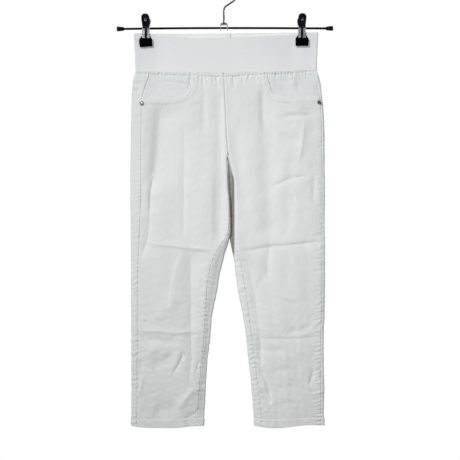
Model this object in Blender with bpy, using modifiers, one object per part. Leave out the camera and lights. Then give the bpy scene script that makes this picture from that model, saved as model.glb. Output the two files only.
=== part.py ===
"""White pull-on capri pants, hung flat by two clips from a metal hanger.

Everything below is in millimetres until a mesh is made, which is in metres. +Z is up, the front of
the pants faces -Y and +X is the wearer's left. The origin is the inner top of the hanger's hook.

The pants are one flattened tube from the waist down to the crotch and two below it. Each half of
the pants has a horizontal section at every height, worked out from the tables of named columns:
section() walks it from the outer fold along the front to the middle, and back along the back.
A panel is the stretch of that walk between two seams, over the rows of heights, made a wall by
Solidify. Folds and gathers push a panel's points in or out along the section's normal.
"""
import math

import bmesh
import bpy
import numpy as np
from mathutils import Matrix, Vector

MM = 0.001

# ---------------------------------------------------------------- driving dimensions, millimetres
CLOTH = 1.2              # wall of the leg panels
BAND_WALL = 2.0          # ribbed elastic waistband
FACING = 1.0             # pocket facing
GAP = 0.3                # between pieces that touch
INSEAM_GAP = 0.4         # at the inseam, which runs over a rounder fold
HEM_DEPTH = 15.0         # turned-up hem
HEM_STEP = 0.5           # how far the doubled hem stands proud
CROTCH_Z = -357.0        # where the front seam turns under
CROTCH_DROP = 14.0       # height of the curve that the crotch seam makes under the body
EDGE_EASE = 25.0         # height below it over which a leg's fold comes to reach its edge
OUTER_ROUND = 70.0       # distance over which the cloth swells from a side fold to full depth
FOLD_POWER = 0.34        # how blunt the side folds are
CLIP_X = (-158.5, 158.5)
PINCH = 2.2              # half of the band's thickness where a clip grips it
PINCH_SPREAD = 60.0      # how far along the band a clip flattens it

# height, and where the seam up the middle of the front lies
MIDDLE_COLUMNS = ("z", "x")
MIDDLE = [
    (-110.0, 0.5),
    (-200.0, 0.5),
    (-222.0, 1.2),
    (-275.0, 3.5),
    (-304.0, 4.9),
    (-357.0, 8.3),
]
BACK_SEAM_SHIFT = -1.05  # how much further to the right the back seam lies

# half of the tube's depth, from its middle plane to the front and to the back
DEPTH_COLUMNS = ("z", "front", "back")
DEPTH = [
    (-110.0, 8.0, 5.0),
    (-145.0, 8.5, 6.0),
    (-195.0, 9.5, 8.5),
    (-260.0, 13.0, 14.0),
    (-357.0, 14.5, 16.5),
    (-480.0, 13.5, 14.5),
    (-560.0, 12.5, 12.5),
    (-730.0, 11.5, 11.5),
    (-915.0, 10.0, 10.0),
]

# Edges seen from the front, from the left end to the right: the band's upper edge and the hems
EDGE_COLUMNS = ("x", "z")
BAND_TOP = [
    (192.0, -113.0),
    (139.0, -118.4),
    (88.0, -122.2),
    (59.0, -124.1),
    (0.0, -125.9),
    (-45.0, -127.1),
    (-79.0, -125.5),
    (-114.0, -121.6),
    (-133.0, -119.8),
    (-150.0, -115.9),
    (-184.0, -115.2),
]
HEMS = {
    "left": [(203.6, -911.6), (181.0, -910.4), (165.0, -910.7), (132.0, -913.7), (116.0, -915.8),
             (100.0, -916.2), (84.0, -915.0), (62.3, -912.4)],
    "right": [(-41.0, -912.4), (-63.0, -912.9), (-79.0, -913.7), (-95.0, -915.4), (-128.0, -915.8),
              (-160.0, -915.4), (-177.0, -914.0), (-188.6, -912.4)],
}

# side: the outer fold. edge: how near the middle the leg comes. lean: how much further from the
# middle its front corner lies than its back corner, which is less than nothing where the front
# comes nearer. round: distance over which the cloth swells from the inner fold to full depth.
# side_seam: along the cloth from the outer fold to the side seam, on the front.
# inseam: along the cloth from the inner fold to the inseam, on the front.
LEG_COLUMNS = ("z", "side", "edge", "lean", "round", "side_seam", "inseam")
RIGHT_LEG = [
    (-110.0, -183.8, 0.0, 0.0, 2.0, 30.0, 0.0),
    (-194.0, -180.0, 0.0, 0.0, 2.0, 30.0, 0.0),
    (-203.5, -183.0, 0.0, 0.0, 2.0, 33.0, 0.0),
    (-220.0, -186.2, 0.0, 0.0, 2.0, 31.0, 0.0),
    (-250.0, -188.0, 0.0, 0.0, 2.0, 27.0, 0.0),
    (-332.0, -189.7, 0.0, 0.0, 2.0, 28.0, 0.0),
    (-357.0, -189.8, 8.15, -1.05, 2.0, 28.0, 0.0),
    (-371.0, -189.9, 8.15, -1.05, 4.0, 28.0, 0.0),
    (-385.0, -189.9, 8.7, -2.0, 5.0, 28.0, 0.0),
    (-420.0, -190.0, 9.4, -3.2, 6.0, 28.0, 3.0),
    (-465.0, -190.1, 10.6, -3.2, 7.0, 27.0, 7.0),
    (-487.0, -190.0, 11.6, -3.2, 8.0, 26.0, 10.0),
    (-519.0, -189.8, 13.4, -3.2, 10.0, 24.0, 14.0),
    (-534.0, -189.6, 11.0, -1.5, 14.0, 23.0, 17.0),
    (-545.0, -189.4, 8.3, 0.0, 18.0, 22.0, 20.0),
    (-560.0, -189.2, 3.2, 0.0, 25.0, 21.0, 24.0),
    (-585.0, -189.0, -3.5, 0.0, 35.0, 20.0, 27.0),
    (-609.0, -188.8, -9.2, 0.0, 45.0, 19.0, 27.0),
    (-648.0, -188.6, -15.5, 0.0, 52.0, 18.0, 24.0),
    (-686.0, -188.6, -23.3, 0.0, 52.0, 18.0, 19.0),
    (-737.0, -188.4, -27.6, 0.0, 52.0, 17.5, 17.0),
    (-784.0, -188.4, -33.2, 0.0, 52.0, 17.0, 16.0),
    (-841.0, -188.4, -37.2, 0.0, 52.0, 16.5, 16.5),
    (-915.0, -188.6, -41.0, 0.0, 52.0, 16.0, 17.0),
]
LEFT_LEG = [
    (-110.0, 192.1, 0.0, 0.0, 2.0, 11.0, 0.0),
    (-191.0, 189.4, 0.0, 0.0, 2.0, 10.0, 0.0),
    (-209.0, 193.4, 0.0, 0.0, 2.0, 10.0, 0.0),
    (-225.0, 197.6, 0.0, 0.0, 2.0, 10.0, 0.0),
    (-249.0, 199.4, 0.0, 0.0, 2.0, 10.0, 0.0),
    (-272.0, 202.4, 0.0, 0.0, 2.0, 11.0, 0.0),
    (-332.0, 203.6, 0.0, 0.0, 2.0, 11.0, 0.0),
    (-357.0, 203.8, 7.4, 1.05, 2.0, 11.0, 0.0),
    (-371.0, 204.0, 7.4, 1.05, 4.0, 11.0, 0.0),
    (-385.0, 204.2, 7.7, 5.5, 4.0, 11.0, 0.0),
    (-420.0, 204.6, 8.0, 15.5, 4.0, 11.0, 2.0),
    (-465.0, 204.9, 9.1, 17.0, 4.0, 11.0, 5.0),
    (-487.0, 205.0, 9.9, 17.0, 5.0, 11.0, 8.0),
    (-519.0, 205.2, 10.6, 14.0, 6.0, 11.0, 12.0),
    (-534.0, 205.2, 11.3, 12.0, 7.0, 11.0, 14.0),
    (-545.0, 205.3, 13.4, 9.0, 9.0, 11.0, 15.0),
    (-560.0, 205.3, 17.0, 4.0, 13.0, 11.0, 17.0),
    (-574.0, 205.4, 19.9, 0.0, 20.0, 11.0, 18.0),
    (-609.0, 205.5, 24.4, 0.0, 38.0, 11.0, 20.0),
    (-648.0, 205.3, 30.4, 0.0, 52.0, 11.0, 20.0),
    (-686.0, 204.4, 38.3, 0.0, 52.0, 11.0, 17.0),
    (-737.0, 202.9, 45.8, 0.0, 52.0, 11.0, 16.0),
    (-784.0, 202.6, 50.6, 0.0, 52.0, 11.0, 17.0),
    (-841.0, 203.2, 56.4, 0.0, 52.0, 11.0, 18.0),
    (-915.0, 203.6, 62.3, 0.0, 52.0, 11.0, 20.0),
]
LEGS = {"right": (-1, RIGHT_LEG), "left": (1, LEFT_LEG)}

# Main folds of the cloth: the ends of each on the panel, its half width, and its depth, which is
# negative for a trough and positive for a ridge. Columns: face, x0, z0, x1, z1, width, depth.
FOLDS = [
    ("front", -146.0, -262.0, -157.0, -376.0, 13.0, -4.2),
    ("front", -157.0, -376.0, -152.0, -540.0, 11.0, -3.2),
    ("front", -126.0, -318.0, -141.0, -415.0, 12.0, 2.2),
    ("front", -90.0, -365.0, -97.0, -485.0, 15.0, -3.0),
    ("front", -34.0, -262.0, -23.0, -552.0, 13.0, -3.2),
    ("front", 76.0, -235.0, 80.0, -345.0, 13.0, -3.2),
    ("front", 91.0, -318.0, 95.0, -430.0, 14.0, 2.2),
    ("front", 30.0, -425.0, 112.0, -424.0, 10.0, -1.5),
    ("front", 112.0, -424.0, 187.0, -404.0, 10.0, -2.0),
    ("front", -160.0, -541.0, -97.0, -548.0, 9.0, -2.8),
    ("front", -97.0, -548.0, -28.0, -557.0, 9.0, -2.2),
    ("front", 30.0, -557.0, 88.0, -552.0, 9.0, -2.5),
    ("front", 88.0, -552.0, 196.0, -542.0, 9.0, -2.8),
    ("front", -75.0, -552.0, -97.0, -609.0, 12.0, -3.2),
    ("front", -86.0, -617.0, -84.0, -820.0, 17.0, -3.5),
    ("front", 91.0, -557.0, 68.0, -634.0, 12.0, -3.2),
    ("front", -172.0, -724.0, -42.0, -722.0, 9.0, -2.4),
    ("front", 75.0, -737.0, 196.0, -736.0, 9.0, -2.4),
    ("front", -62.0, -847.0, -97.0, -886.0, 10.0, 2.2),
    ("front", 67.0, -796.0, 96.0, -880.0, 13.0, -3.0),
    ("back", -118.0, -300.0, -60.0, -420.0, 17.0, -3.2),
    ("back", 118.0, -310.0, 66.0, -430.0, 17.0, -3.0),
    ("back", -165.0, -548.0, -40.0, -560.0, 10.0, -2.8),
    ("back", 40.0, -558.0, 180.0, -545.0, 10.0, -2.8),
    ("back", -120.0, -600.0, -112.0, -850.0, 18.0, -3.0),
    ("back", 128.0, -590.0, 132.0, -840.0, 18.0, -3.2),
    ("back", -160.0, -726.0, -50.0, -730.0, 9.0, -2.0),
    ("back", 70.0, -735.0, 180.0, -728.0, 9.0, -2.0),
]

# Gathers under the waistband: an uneven wave along it, strongest a little below the seam
GATHER_PITCH = 15.5
GATHER_HEIGHT = 1.5
GATHER_WANDER = 0.22     # share of a pitch by which a gather strays from even spacing
GATHER_TOP = 12.0        # distance below the band where they are deepest
GATHER_END = 44.0        # and where they have gone
POCKET_CALM = 0.35       # share of their height that is left on the flat pocket facings

# The scooped pocket openings, from the waist seam down and round to the side seam: x, z
POCKET_RIGHT = [(-63.5, -190.0), (-64.5, -206.0), (-66.5, -223.0), (-71.5, -234.5), (-79.0, -242.0),
                (-90.0, -246.6), (-103.0, -248.0), (-146.0, -247.4), (-173.0, -246.0)]
POCKET_LEFT = [(82.0, -190.0), (89.0, -208.0), (92.0, -220.0), (96.5, -234.0), (104.0, -241.5),
               (116.0, -245.8), (138.0, -247.4), (175.0, -246.6), (200.0, -245.0)]
FACING_BELOW = 18.0      # how far a facing goes on below its opening
FACING_SLACK = 0.8       # how much further in its lower edge hangs
FACING_LAP = 3.0         # and behind the back panel, past the side seam
RIVET_PLACES = {"right": (-165.4, -259.2), "left": (193.2, -257.2)}
RIVET_RADIUS = 4.3
RIVET_HEIGHT = 1.5

# Hanger
ROD_Z = -104.6
ROD_RADIUS = 2.0
ROD_ENDS = (-202.3, 206.7)
ROD_BOW = (1.9, 0.7)     # how far its right and left ends hang below its middle
CAP_LENGTH = 15.0
CAP_RADII = (3.0, 4.9)
HOOK_WIRE = 1.75
HOOK_RADIUS = 29.5       # of the wire's centre line
HOOK_STEM_Z = (-58.0, -96.2)
BRACKET = (15.6, 7.0, 1.6)
PADS = {"right": (-158.5, -134.9, -5.0), "left": (158.5, -133.2, 0.0)}


def column(rows, names, name, z):
    """A named column of a table at height z, eased between its rows with no overshoot."""
    heights = np.array([row[0] for row in rows])[::-1]
    values = np.array([row[names.index(name)] for row in rows], dtype=float)[::-1]
    steps = np.diff(heights)
    rises = np.diff(values) / steps
    slopes = np.zeros(len(values))
    slopes[0], slopes[-1] = rises[0], rises[-1]
    for k in range(1, len(values) - 1):
        if rises[k - 1] * rises[k] > 0:
            slopes[k] = 2.0 * rises[k - 1] * rises[k] / (rises[k - 1] + rises[k])
    z = min(max(z, heights[0]), heights[-1])
    k = min(int(np.searchsorted(heights, z, side="right")) - 1, len(steps) - 1)
    t = (z - heights[k]) / steps[k]
    return ((2 * t**3 - 3 * t**2 + 1) * values[k] + (t**3 - 2 * t**2 + t) * steps[k] * slopes[k]
            + (3 * t**2 - 2 * t**3) * values[k + 1] + (t**3 - t**2) * steps[k] * slopes[k + 1])


def swell(distance, reach, power=FOLD_POWER):
    """0 at a fold, rising bluntly to 1 at the given distance from it."""
    return (1.0 - (1.0 - np.clip(distance / reach, 0.0, 1.0)) ** 2) ** power


def ease(value):
    value = np.clip(value, 0.0, 1.0)
    return value * value * (3.0 - 2.0 * value)


def tube_depth(x, z, face):
    """Depth of the waistband and hips at x, from the middle plane to the front or back."""
    left, right = side_x("right", z), side_x("left", z)
    out = np.minimum(x - left, right - x)
    full = column(DEPTH, DEPTH_COLUMNS, face, z) * swell(out, OUTER_ROUND)
    round_end = np.sqrt(1.0 - (1.0 - np.clip(out / (PINCH + 0.9), 0.0, 1.0)) ** 2)
    held = ease((z + 262.0) / 115.0)
    grip = sum(np.exp(-((x - clip) / PINCH_SPREAD) ** 2) for clip in CLIP_X)
    beside = np.clip((np.abs(x - 4.0) - 170.0) / 18.0, 0.0, 1.0)
    flat = (PINCH + 0.9 * beside) * round_end
    share = held * np.clip(1.15 * grip, 0.0, 1.0)
    return full * (1.0 - share) + flat * share


def crotch_opening(z):
    """Share of the depth that the crotch seam still spans at height z: it falls in a quarter round."""
    fallen = min(max((CROTCH_Z - z) / CROTCH_DROP, 0.0), 1.0)
    return math.sqrt(1.0 - fallen ** 2)


def side_x(side, z):
    return column(LEGS[side][1], LEG_COLUMNS, "side", z)


def section(side, z, samples=220):
    """The half's section at height z: points along the cloth from the outer fold over the front to
    the middle, then from the middle over the back to the outer fold, with their outward normals."""
    sign, rows = LEGS[side]
    outer = side_x(side, z)
    turn = 0.5 - 0.5 * np.cos(np.linspace(0.0, math.pi, samples))
    faces, parts = [], []
    for face, way in (("front", -1.0), ("back", 1.0)):
        if z >= CROTCH_Z:
            inner = column(MIDDLE, MIDDLE_COLUMNS, "x", z) + (BACK_SEAM_SHIFT if way > 0.0 else 0.0)
            x = outer + (inner - outer) * turn
            y = way * tube_depth(x, z, face)
        else:
            edge = column(rows, LEG_COLUMNS, "edge", z)
            lean = column(rows, LEG_COLUMNS, "lean", z)
            inner = edge + sign * 0.5 * abs(lean)
            reach = column(rows, LEG_COLUMNS, "round", z)
            open_share = crotch_opening(z)
            inward = open_share + (1.0 - open_share) * swell(abs(inner - outer) * (1.0 - turn), reach)
            share = swell(abs(inner - outer) * turn, OUTER_ROUND) * inward
            y = way * column(DEPTH, DEPTH_COLUMNS, face, z) * share
            x = outer + (inner - way * sign * 0.5 * lean * share - outer) * turn
        faces.append([x, y])
    if z < CROTCH_Z - CROTCH_DROP:
        nearest = min((sign * x).min() for x, _ in faces) * sign
        below = min((CROTCH_Z - CROTCH_DROP - z) / EDGE_EASE, 1.0)
        for face in faces:
            face[0] = face[0] + (edge - nearest) * below * turn
    faces[1] = [line[::-1] for line in faces[1]]
    for x, y in faces:
        tx, ty = np.gradient(x), np.gradient(y)
        length = np.maximum(np.hypot(tx, ty), 1e-9)
        run = np.concatenate([[0.0], np.cumsum(np.hypot(np.diff(x), np.diff(y)))])
        parts.append((run, x, y, -sign * ty / length, sign * tx / length))
    front, back = parts
    runs = np.concatenate([front[0], back[0] + front[0][-1] + 1e-6])
    joined = [np.concatenate([front[k], back[k]]) for k in range(1, 5)]
    return {"run": runs, "x": joined[0], "y": joined[1], "nx": joined[2], "ny": joined[3],
            "front": front[0][-1], "whole": runs[-1], "z": z}


def at(cut, run):
    """Place and outward normal on a section, at a distance along its cloth."""
    run = run % cut["whole"]
    return [float(np.interp(run, cut["run"], cut[key])) for key in ("x", "y", "nx", "ny")]


def band_bottom(x):
    """Height of the waist seam, which rises towards both side folds."""
    middle = 1.0 - ((x + 10.0) / 195.0) ** 2
    return -193.9 - 3.9 * middle + 3.0 * ease((x - 60.0) / 130.0)


def band_top(x, face):
    """Height of the band's upper edge, which sags between the clips at the front."""
    if face == "front":
        return column(BAND_TOP, EDGE_COLUMNS, "z", x)
    return -115.3 + 2.6 * ease((x + 184.0) / 376.0)


def hem_bottom(x, side):
    """Height of a front hem, lower in the middle of the leg than at its folds."""
    return column(HEMS[side], EDGE_COLUMNS, "z", x)


def gather(x, z, face):
    """Height of the gathers at a place under the waistband."""
    below = band_bottom(x) - z
    if below >= GATHER_END:
        return 0.0
    wave = x / GATHER_PITCH + GATHER_WANDER * math.sin(x / 23.0) + (0.4 if face == "back" else 0.0)
    uneven = 0.72 + 0.28 * math.sin(x / 9.3 + 1.0)
    swellup = ease((below + 5.0) / (GATHER_TOP + 5.0)) * ease((GATHER_END - below) / (GATHER_END - GATHER_TOP))
    calm = 1.0
    if face == "front":
        calm = 1.0 - (1.0 - POCKET_CALM) * float(ease((abs(x - 12.0) - 66.0) / 16.0))
    ends = float(ease(min(x + 182.0, 193.0 - x) / 16.0))
    return GATHER_HEIGHT * math.sin(2.0 * math.pi * wave) * uneven * float(swellup) * calm * ends


def folds(x, z, face):
    """Sum of the soft folds at a place on the front or the back."""
    total = 0.0
    for fold_face, x0, z0, x1, z1, width, depth in FOLDS:
        if fold_face != face:
            continue
        along = ((x - x0) * (x1 - x0) + (z - z0) * (z1 - z0)) / ((x1 - x0) ** 2 + (z1 - z0) ** 2)
        near = min(max(along, 0.0), 1.0)
        away = math.hypot(x - x0 - near * (x1 - x0), z - z0 - near * (z1 - z0))
        total += depth * math.exp(-(away / width) ** 2) * (0.55 + 0.45 * math.sin(math.pi * near))
    return total


def hem_step(z):
    return HEM_STEP if z < -912.4 + HEM_DEPTH else 0.0


def cloth_point(side, cut, run, z_top_share, z_hem_share, inset=0.0):
    """A point of the cloth in millimetres: on the section, pushed by folds, gathers and hem."""
    x, y, nx, ny = at(cut, run)
    z = cut["z"]
    face = "front" if y < 0.0 else "back"
    depth = max(column(DEPTH, DEPTH_COLUMNS, face, z), 1.0)
    flat = float(ease((abs(y) / depth - 0.35) / 0.4))
    z += z_top_share * (float(band_bottom(x)) - GAP - TOP_Z)
    if z_hem_share:
        bottom = hem_bottom(x, side) if face == "front" else -913.5 - 1.1 * flat
        z += z_hem_share * (bottom - HEM_Z)
    push = gather(x, z, face) + folds(x, z, face) * flat + hem_step(cut["z"]) - inset
    return (x + nx * push, y + ny * push, z)


# ---------------------------------------------------------------- rows of heights
TOP_Z = -194.0 - GAP
HEM_Z = -912.4
STRIP_DROPS = (0.0, 6.0, 13.0, 22.0, 33.0, 45.0)
CROTCH_STEPS = (0.0, 0.5, 0.8, 0.95, 1.0)
ROW_STEP = 34.0


def row_heights():
    """Heights of the panel rows: close under the waist and round the crotch, even elsewhere."""
    heights = [TOP_Z - drop for drop in STRIP_DROPS]
    count = round((heights[-1] - CROTCH_Z) / ROW_STEP)
    first = heights[-1]
    heights += [first + (CROTCH_Z - first) * k / count for k in range(1, count)]
    heights += [CROTCH_Z - CROTCH_DROP * step for step in CROTCH_STEPS]
    first, last = heights[-1], HEM_Z + HEM_DEPTH + 0.6
    count = round((first - last) / ROW_STEP)
    heights += [first + (last - first) * k / count for k in range(1, count + 1)]
    return heights + [HEM_Z + HEM_DEPTH - 0.6, HEM_Z]


def seam_ends(side, cut, panel):
    """Where a panel starts and ends along the section, at its seams."""
    rows = LEGS[side][1]
    z = cut["z"]
    seam = column(rows, LEG_COLUMNS, "side_seam", z)
    inseam = column(rows, LEG_COLUMNS, "inseam", z)
    half = GAP / 2
    middle = half if z >= CROTCH_Z - CROTCH_DROP else INSEAM_GAP / 2
    if panel == "front":
        return seam + half, cut["front"] - inseam - middle
    return cut["front"] - inseam + middle, cut["whole"] + seam - half


NEAR_SIDE = (0.0, 0.6, 5.0, 11.0, 18.0, 27.0)
NEAR_MIDDLE = (0.0, 0.6, 5.0, 10.0, 15.0, 22.0)
BROAD_COLUMNS = 8


def column_runs(start, end, panel, split):
    """Distances along the section of a panel's columns, with broad columns split into fine ones."""
    first, last = (NEAR_SIDE, NEAR_MIDDLE) if panel == "front" else (NEAR_MIDDLE, NEAR_SIDE)
    near = [start + step for step in first]
    far = [end - step for step in reversed(last)]
    pieces = BROAD_COLUMNS * split
    span = far[0] - near[-1]
    return near + [near[-1] + span * k / pieces for k in range(1, pieces)] + far


def near_columns(panel):
    return len(NEAR_SIDE if panel == "front" else NEAR_MIDDLE) - 1


def panel_surface(side, panel, split):
    """Vertices and faces of a leg panel's outer side. Its first rows are finer, for the gathers."""
    heights = row_heights()
    fine_rows = len(STRIP_DROPS)
    verts, rows = [], []
    for number, z in enumerate(heights):
        cut = section(side, z)
        start, end = seam_ends(side, cut, panel)
        fine = number < fine_rows
        top_share = max(0.0, 1.0 - (TOP_Z - z) / STRIP_DROPS[-1])
        hem_share = max(0.0, 1.0 - (z - HEM_Z) / (2.0 * HEM_DEPTH))
        runs = column_runs(start, end, panel, split if fine else 1)
        rows.append(list(range(len(verts), len(verts) + len(runs))))
        verts += [cloth_point(side, cut, run, top_share, hem_share) for run in runs]
    faces = []
    skip = near_columns(panel)
    for number in range(len(rows) - 1):
        upper, lower = rows[number], rows[number + 1]
        if len(upper) == len(lower):
            for k in range(len(upper) - 1):
                faces.append((upper[k], upper[k + 1], lower[k + 1], lower[k]))
            continue
        place = 0
        for k in range(len(lower) - 1):
            parts = split if skip <= k < skip + BROAD_COLUMNS else 1
            faces += fan(upper[place:place + parts + 1], lower[k], lower[k + 1])
            place += parts
    if LEGS[side][0] < 0:
        faces = [tuple(reversed(face)) for face in faces]
    return verts, faces


def fan(upper, low_start, low_end):
    """Faces between several fine columns above and one broad column below."""
    if len(upper) == 2:
        return [(upper[0], upper[1], low_end, low_start)]
    half = len(upper) // 2
    faces = [(upper[k], upper[k + 1], low_start) for k in range(half)]
    faces.append((upper[half], low_end, low_start))
    return faces + [(upper[k], upper[k + 1], low_end) for k in range(half, len(upper) - 1)]


# ---------------------------------------------------------------- making objects
def material(name, colour, roughness, metallic=0.0):
    made = bpy.data.materials.get(name)
    if made is None:
        made = bpy.data.materials.new(name)
        made.use_nodes = True
        shader = made.node_tree.nodes["Principled BSDF"]
        shader.inputs["Base Color"].default_value = (*colour, 1.0)
        shader.inputs["Roughness"].default_value = roughness
        shader.inputs["Metallic"].default_value = metallic
    return made


def finish_object(name, mesh, collection, finish, smooth=True):
    made = bpy.data.objects.new(name, mesh)
    collection.objects.link(made)
    mesh.materials.append(material(*finish))
    if smooth:
        mesh.shade_smooth()
        mesh.set_sharp_from_angle(angle=math.radians(40.0))
    return made


def surface_object(name, verts, faces, collection, finish):
    mesh = bpy.data.meshes.new(name)
    mesh.from_pydata([[MM * value for value in vert] for vert in verts], [], faces)
    mesh.update()
    return finish_object(name, mesh, collection, finish)


def solidify(item, thickness):
    wall = item.modifiers.new("wall", "SOLIDIFY")
    wall.thickness = thickness * MM
    wall.offset = -1.0


def cut_with(item, cutter, operation="DIFFERENCE"):
    cut = item.modifiers.new("cut", "BOOLEAN")
    cut.operation = operation
    cut.solver = "EXACT"
    cut.object = cutter


def bmesh_object(name, build, collection, finish):
    """An object from a function that fills a bmesh, which works in millimetres."""
    shape = bmesh.new()
    build(shape)
    bmesh.ops.scale(shape, vec=Vector((MM, MM, MM)), verts=shape.verts)
    bmesh.ops.recalc_face_normals(shape, faces=shape.faces)
    mesh = bpy.data.meshes.new(name)
    shape.to_mesh(mesh)
    shape.free()
    return finish_object(name, mesh, collection, finish)


def prism(shape, outline, depth, middle=0.0):
    """A flat outline in X and Z, given some depth along Y."""
    low = [shape.verts.new((x, middle - depth / 2, z)) for x, z in outline]
    face = shape.faces.new(low)
    grown = bmesh.ops.extrude_face_region(shape, geom=[face])
    moved = [item for item in grown["geom"] if isinstance(item, bmesh.types.BMVert)]
    bmesh.ops.translate(shape, vec=Vector((0.0, depth, 0.0)), verts=moved)


def wire(name, points, radius, collection, finish, resolution=2):
    """A round bar along a list of points, with closed ends."""
    curve = bpy.data.curves.new(name, "CURVE")
    curve.dimensions = "3D"
    curve.bevel_depth = radius * MM
    curve.bevel_resolution = resolution
    curve.use_fill_caps = True
    line = curve.splines.new("POLY")
    line.points.add(len(points) - 1)
    for place, point in zip(line.points, points):
        place.co = (*[MM * value for value in point], 1.0)
    made = bpy.data.objects.new(name, curve)
    collection.objects.link(made)
    curve.materials.append(material(*finish))
    return made


WHITE_CLOTH = ("white cotton twill", (0.86, 0.87, 0.87), 0.85)
WHITE_KNIT = ("white ribbed elastic", (0.84, 0.84, 0.87), 0.9)
WHITE_TAPE = ("white tape", (0.8, 0.82, 0.83), 0.85)
BLACK_METAL = ("black painted steel", (0.012, 0.012, 0.013), 0.35, 0.4)
BLACK_PLASTIC = ("black plastic", (0.012, 0.012, 0.013), 0.4)
BRIGHT_STEEL = ("bright steel", (0.62, 0.62, 0.63), 0.25, 1.0)
RUBBER = ("black rubber", (0.01, 0.01, 0.01), 0.6)


# ---------------------------------------------------------------- the pants
BAND_RING = 64
BAND_ROWS = 6


def band_point(turn, down):
    """A point of the waistband's outer side: once round it, and from its top to its bottom."""
    face = "front" if math.sin(turn) >= 0.0 else "back"
    way = -1.0 if face == "front" else 1.0
    across = 0.5 - 0.5 * math.cos(turn)
    left, right = side_x("right", -150.0), side_x("left", -150.0)
    x = left + (right - left) * across
    z = float(band_top(x, face)) * (1.0 - down) + float(band_bottom(x)) * down
    left, right = side_x("right", z), side_x("left", z)
    x = left + (right - left) * across
    y = way * float(tube_depth(np.array([x]), z, face)[0])
    return (x, y, z)


def make_waistband(collection):
    verts, faces = [], []
    for row in range(BAND_ROWS + 1):
        for k in range(BAND_RING):
            verts.append(band_point(2.0 * math.pi * k / BAND_RING, row / BAND_ROWS))
    for row in range(BAND_ROWS):
        for k in range(BAND_RING):
            after = (k + 1) % BAND_RING
            high, low = row * BAND_RING, (row + 1) * BAND_RING
            faces.append((high + k, low + k, low + after, high + after))
    band = surface_object("waistband", verts, faces, collection, WHITE_KNIT)
    solidify(band, BAND_WALL)


def make_panels(collection, cutters):
    for side in LEGS:
        for panel, split in (("front", 4), ("back", 3)):
            verts, faces = panel_surface(side, panel, split)
            made = surface_object(f"{panel}_{side}", verts, faces, collection, WHITE_CLOTH)
            solidify(made, CLOTH)
            if panel == "front":
                cut_with(made, make_pocket_cutter(side, cutters))


def pocket_outline(side):
    return POCKET_RIGHT if side == "right" else POCKET_LEFT


def make_pocket_cutter(side, collection):
    """A prism that takes the scooped corner out of a front panel."""
    line = pocket_outline(side)
    reach = -215.0 if side == "right" else 215.0
    outline = line + [(reach, line[-1][1]), (reach, line[0][1])]

    def build(shape):
        prism(shape, outline, 70.0)

    return hide(bmesh_object(f"pocket_cutter_{side}", build, collection, WHITE_TAPE))


def make_pocket_facing(side, collection):
    """The cloth inside a pocket opening: a patch of the front, set back behind its wall."""
    line = pocket_outline(side)
    low = min(z for _, z in line) - FACING_BELOW
    heights = [z for z in row_heights() if z > low] + [low]
    heights = [z for z in heights if TOP_Z - z >= 0.0]
    verts, faces, width = [], [], 0
    for z in heights:
        cut = section(side, z)
        start, end = seam_ends(side, cut, "front")
        runs = [run for run in column_runs(start, end, "front", 4)
                if abs(at(cut, run)[0]) > abs(line[0][0]) - 14.0]
        width = width or len(runs)
        runs = column_runs(start, end, "front", 4)[:width]
        top_share = max(0.0, 1.0 - (TOP_Z - z) / STRIP_DROPS[-1])
        inset = CLOTH + GAP + (FACING_SLACK if z == low else 0.0)
        verts.append(cloth_point(side, cut, start - FACING_LAP, top_share, 0.0, inset + 2.5 * GAP))
        verts += [cloth_point(side, cut, run, top_share, 0.0, inset) for run in runs]
    width += 1
    for row in range(len(heights) - 1):
        for k in range(width - 1):
            high, below = row * width + k, (row + 1) * width + k
            faces.append((high, high + 1, below + 1, below))
    if LEGS[side][0] < 0:
        faces = [tuple(reversed(face)) for face in faces]
    facing = surface_object(f"pocket_facing_{side}", verts, faces, collection, WHITE_CLOTH)
    solidify(facing, FACING)


def place_on_front(side, x, z):
    """Point and outward normal of the front at a given x and height."""
    cut = section(side, z)
    runs = np.linspace(4.0, cut["front"] - 1.0, 400)
    found = min(runs, key=lambda run: abs(at(cut, run)[0] - x))
    _, _, nx, ny = at(cut, found)
    return Vector(cloth_point(side, cut, found, 0.0, 0.0)), Vector((nx, ny, 0.0)).normalized()


def make_rivet(side, collection):
    point, normal = place_on_front(side, *RIVET_PLACES[side])
    profile = [(0.0, 1.0), (0.42, 0.93), (0.62, 0.55), (0.8, 1.0), (0.93, 0.7), (1.0, 0.0)]

    def build(shape):
        rings = []
        for share, height in profile[1:]:
            ring = bmesh.ops.create_circle(shape, segments=14, radius=RIVET_RADIUS * share)["verts"]
            bmesh.ops.translate(shape, vec=Vector((0.0, 0.0, RIVET_HEIGHT * height)), verts=ring)
            rings.append(ring)
        for inner, outer in zip(rings, rings[1:]):
            for k in range(14):
                after = (k + 1) % 14
                shape.faces.new((inner[k], inner[after], outer[after], outer[k]))
        shape.faces.new(rings[0])
        shape.faces.new(rings[-1])
        turn = normal.to_track_quat("Z", "Y").to_matrix().to_4x4()
        seat = Matrix.Translation(point + normal * (GAP + 0.1)) @ turn
        bmesh.ops.transform(shape, matrix=seat, verts=shape.verts)

    bmesh_object(f"rivet_{side}", build, collection, BRIGHT_STEEL)


TAB = (10.5, 0.8, 15.0)
TAB_X = 8.0


def make_back_tab(collection):
    """The small blank tab that hangs inside the back of the band, just under its edge."""
    top = float(band_top(TAB_X, "back")) - 0.6
    y = float(tube_depth(np.array([TAB_X]), top, "back")[0]) - BAND_WALL - GAP - 0.2 - TAB[1] / 2
    place = (TAB_X, y, top - TAB[2] / 2)
    bmesh_object("back_tab", lambda shape: box(shape, TAB, place), collection, WHITE_TAPE)


# ---------------------------------------------------------------- the hanger
def rod_z(x):
    """Height of the rod's middle: it bows down a little towards its ends."""
    return ROD_Z - (ROD_BOW[0] if x < 0.0 else ROD_BOW[1]) * (x / ROD_ENDS[1]) ** 2


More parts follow.
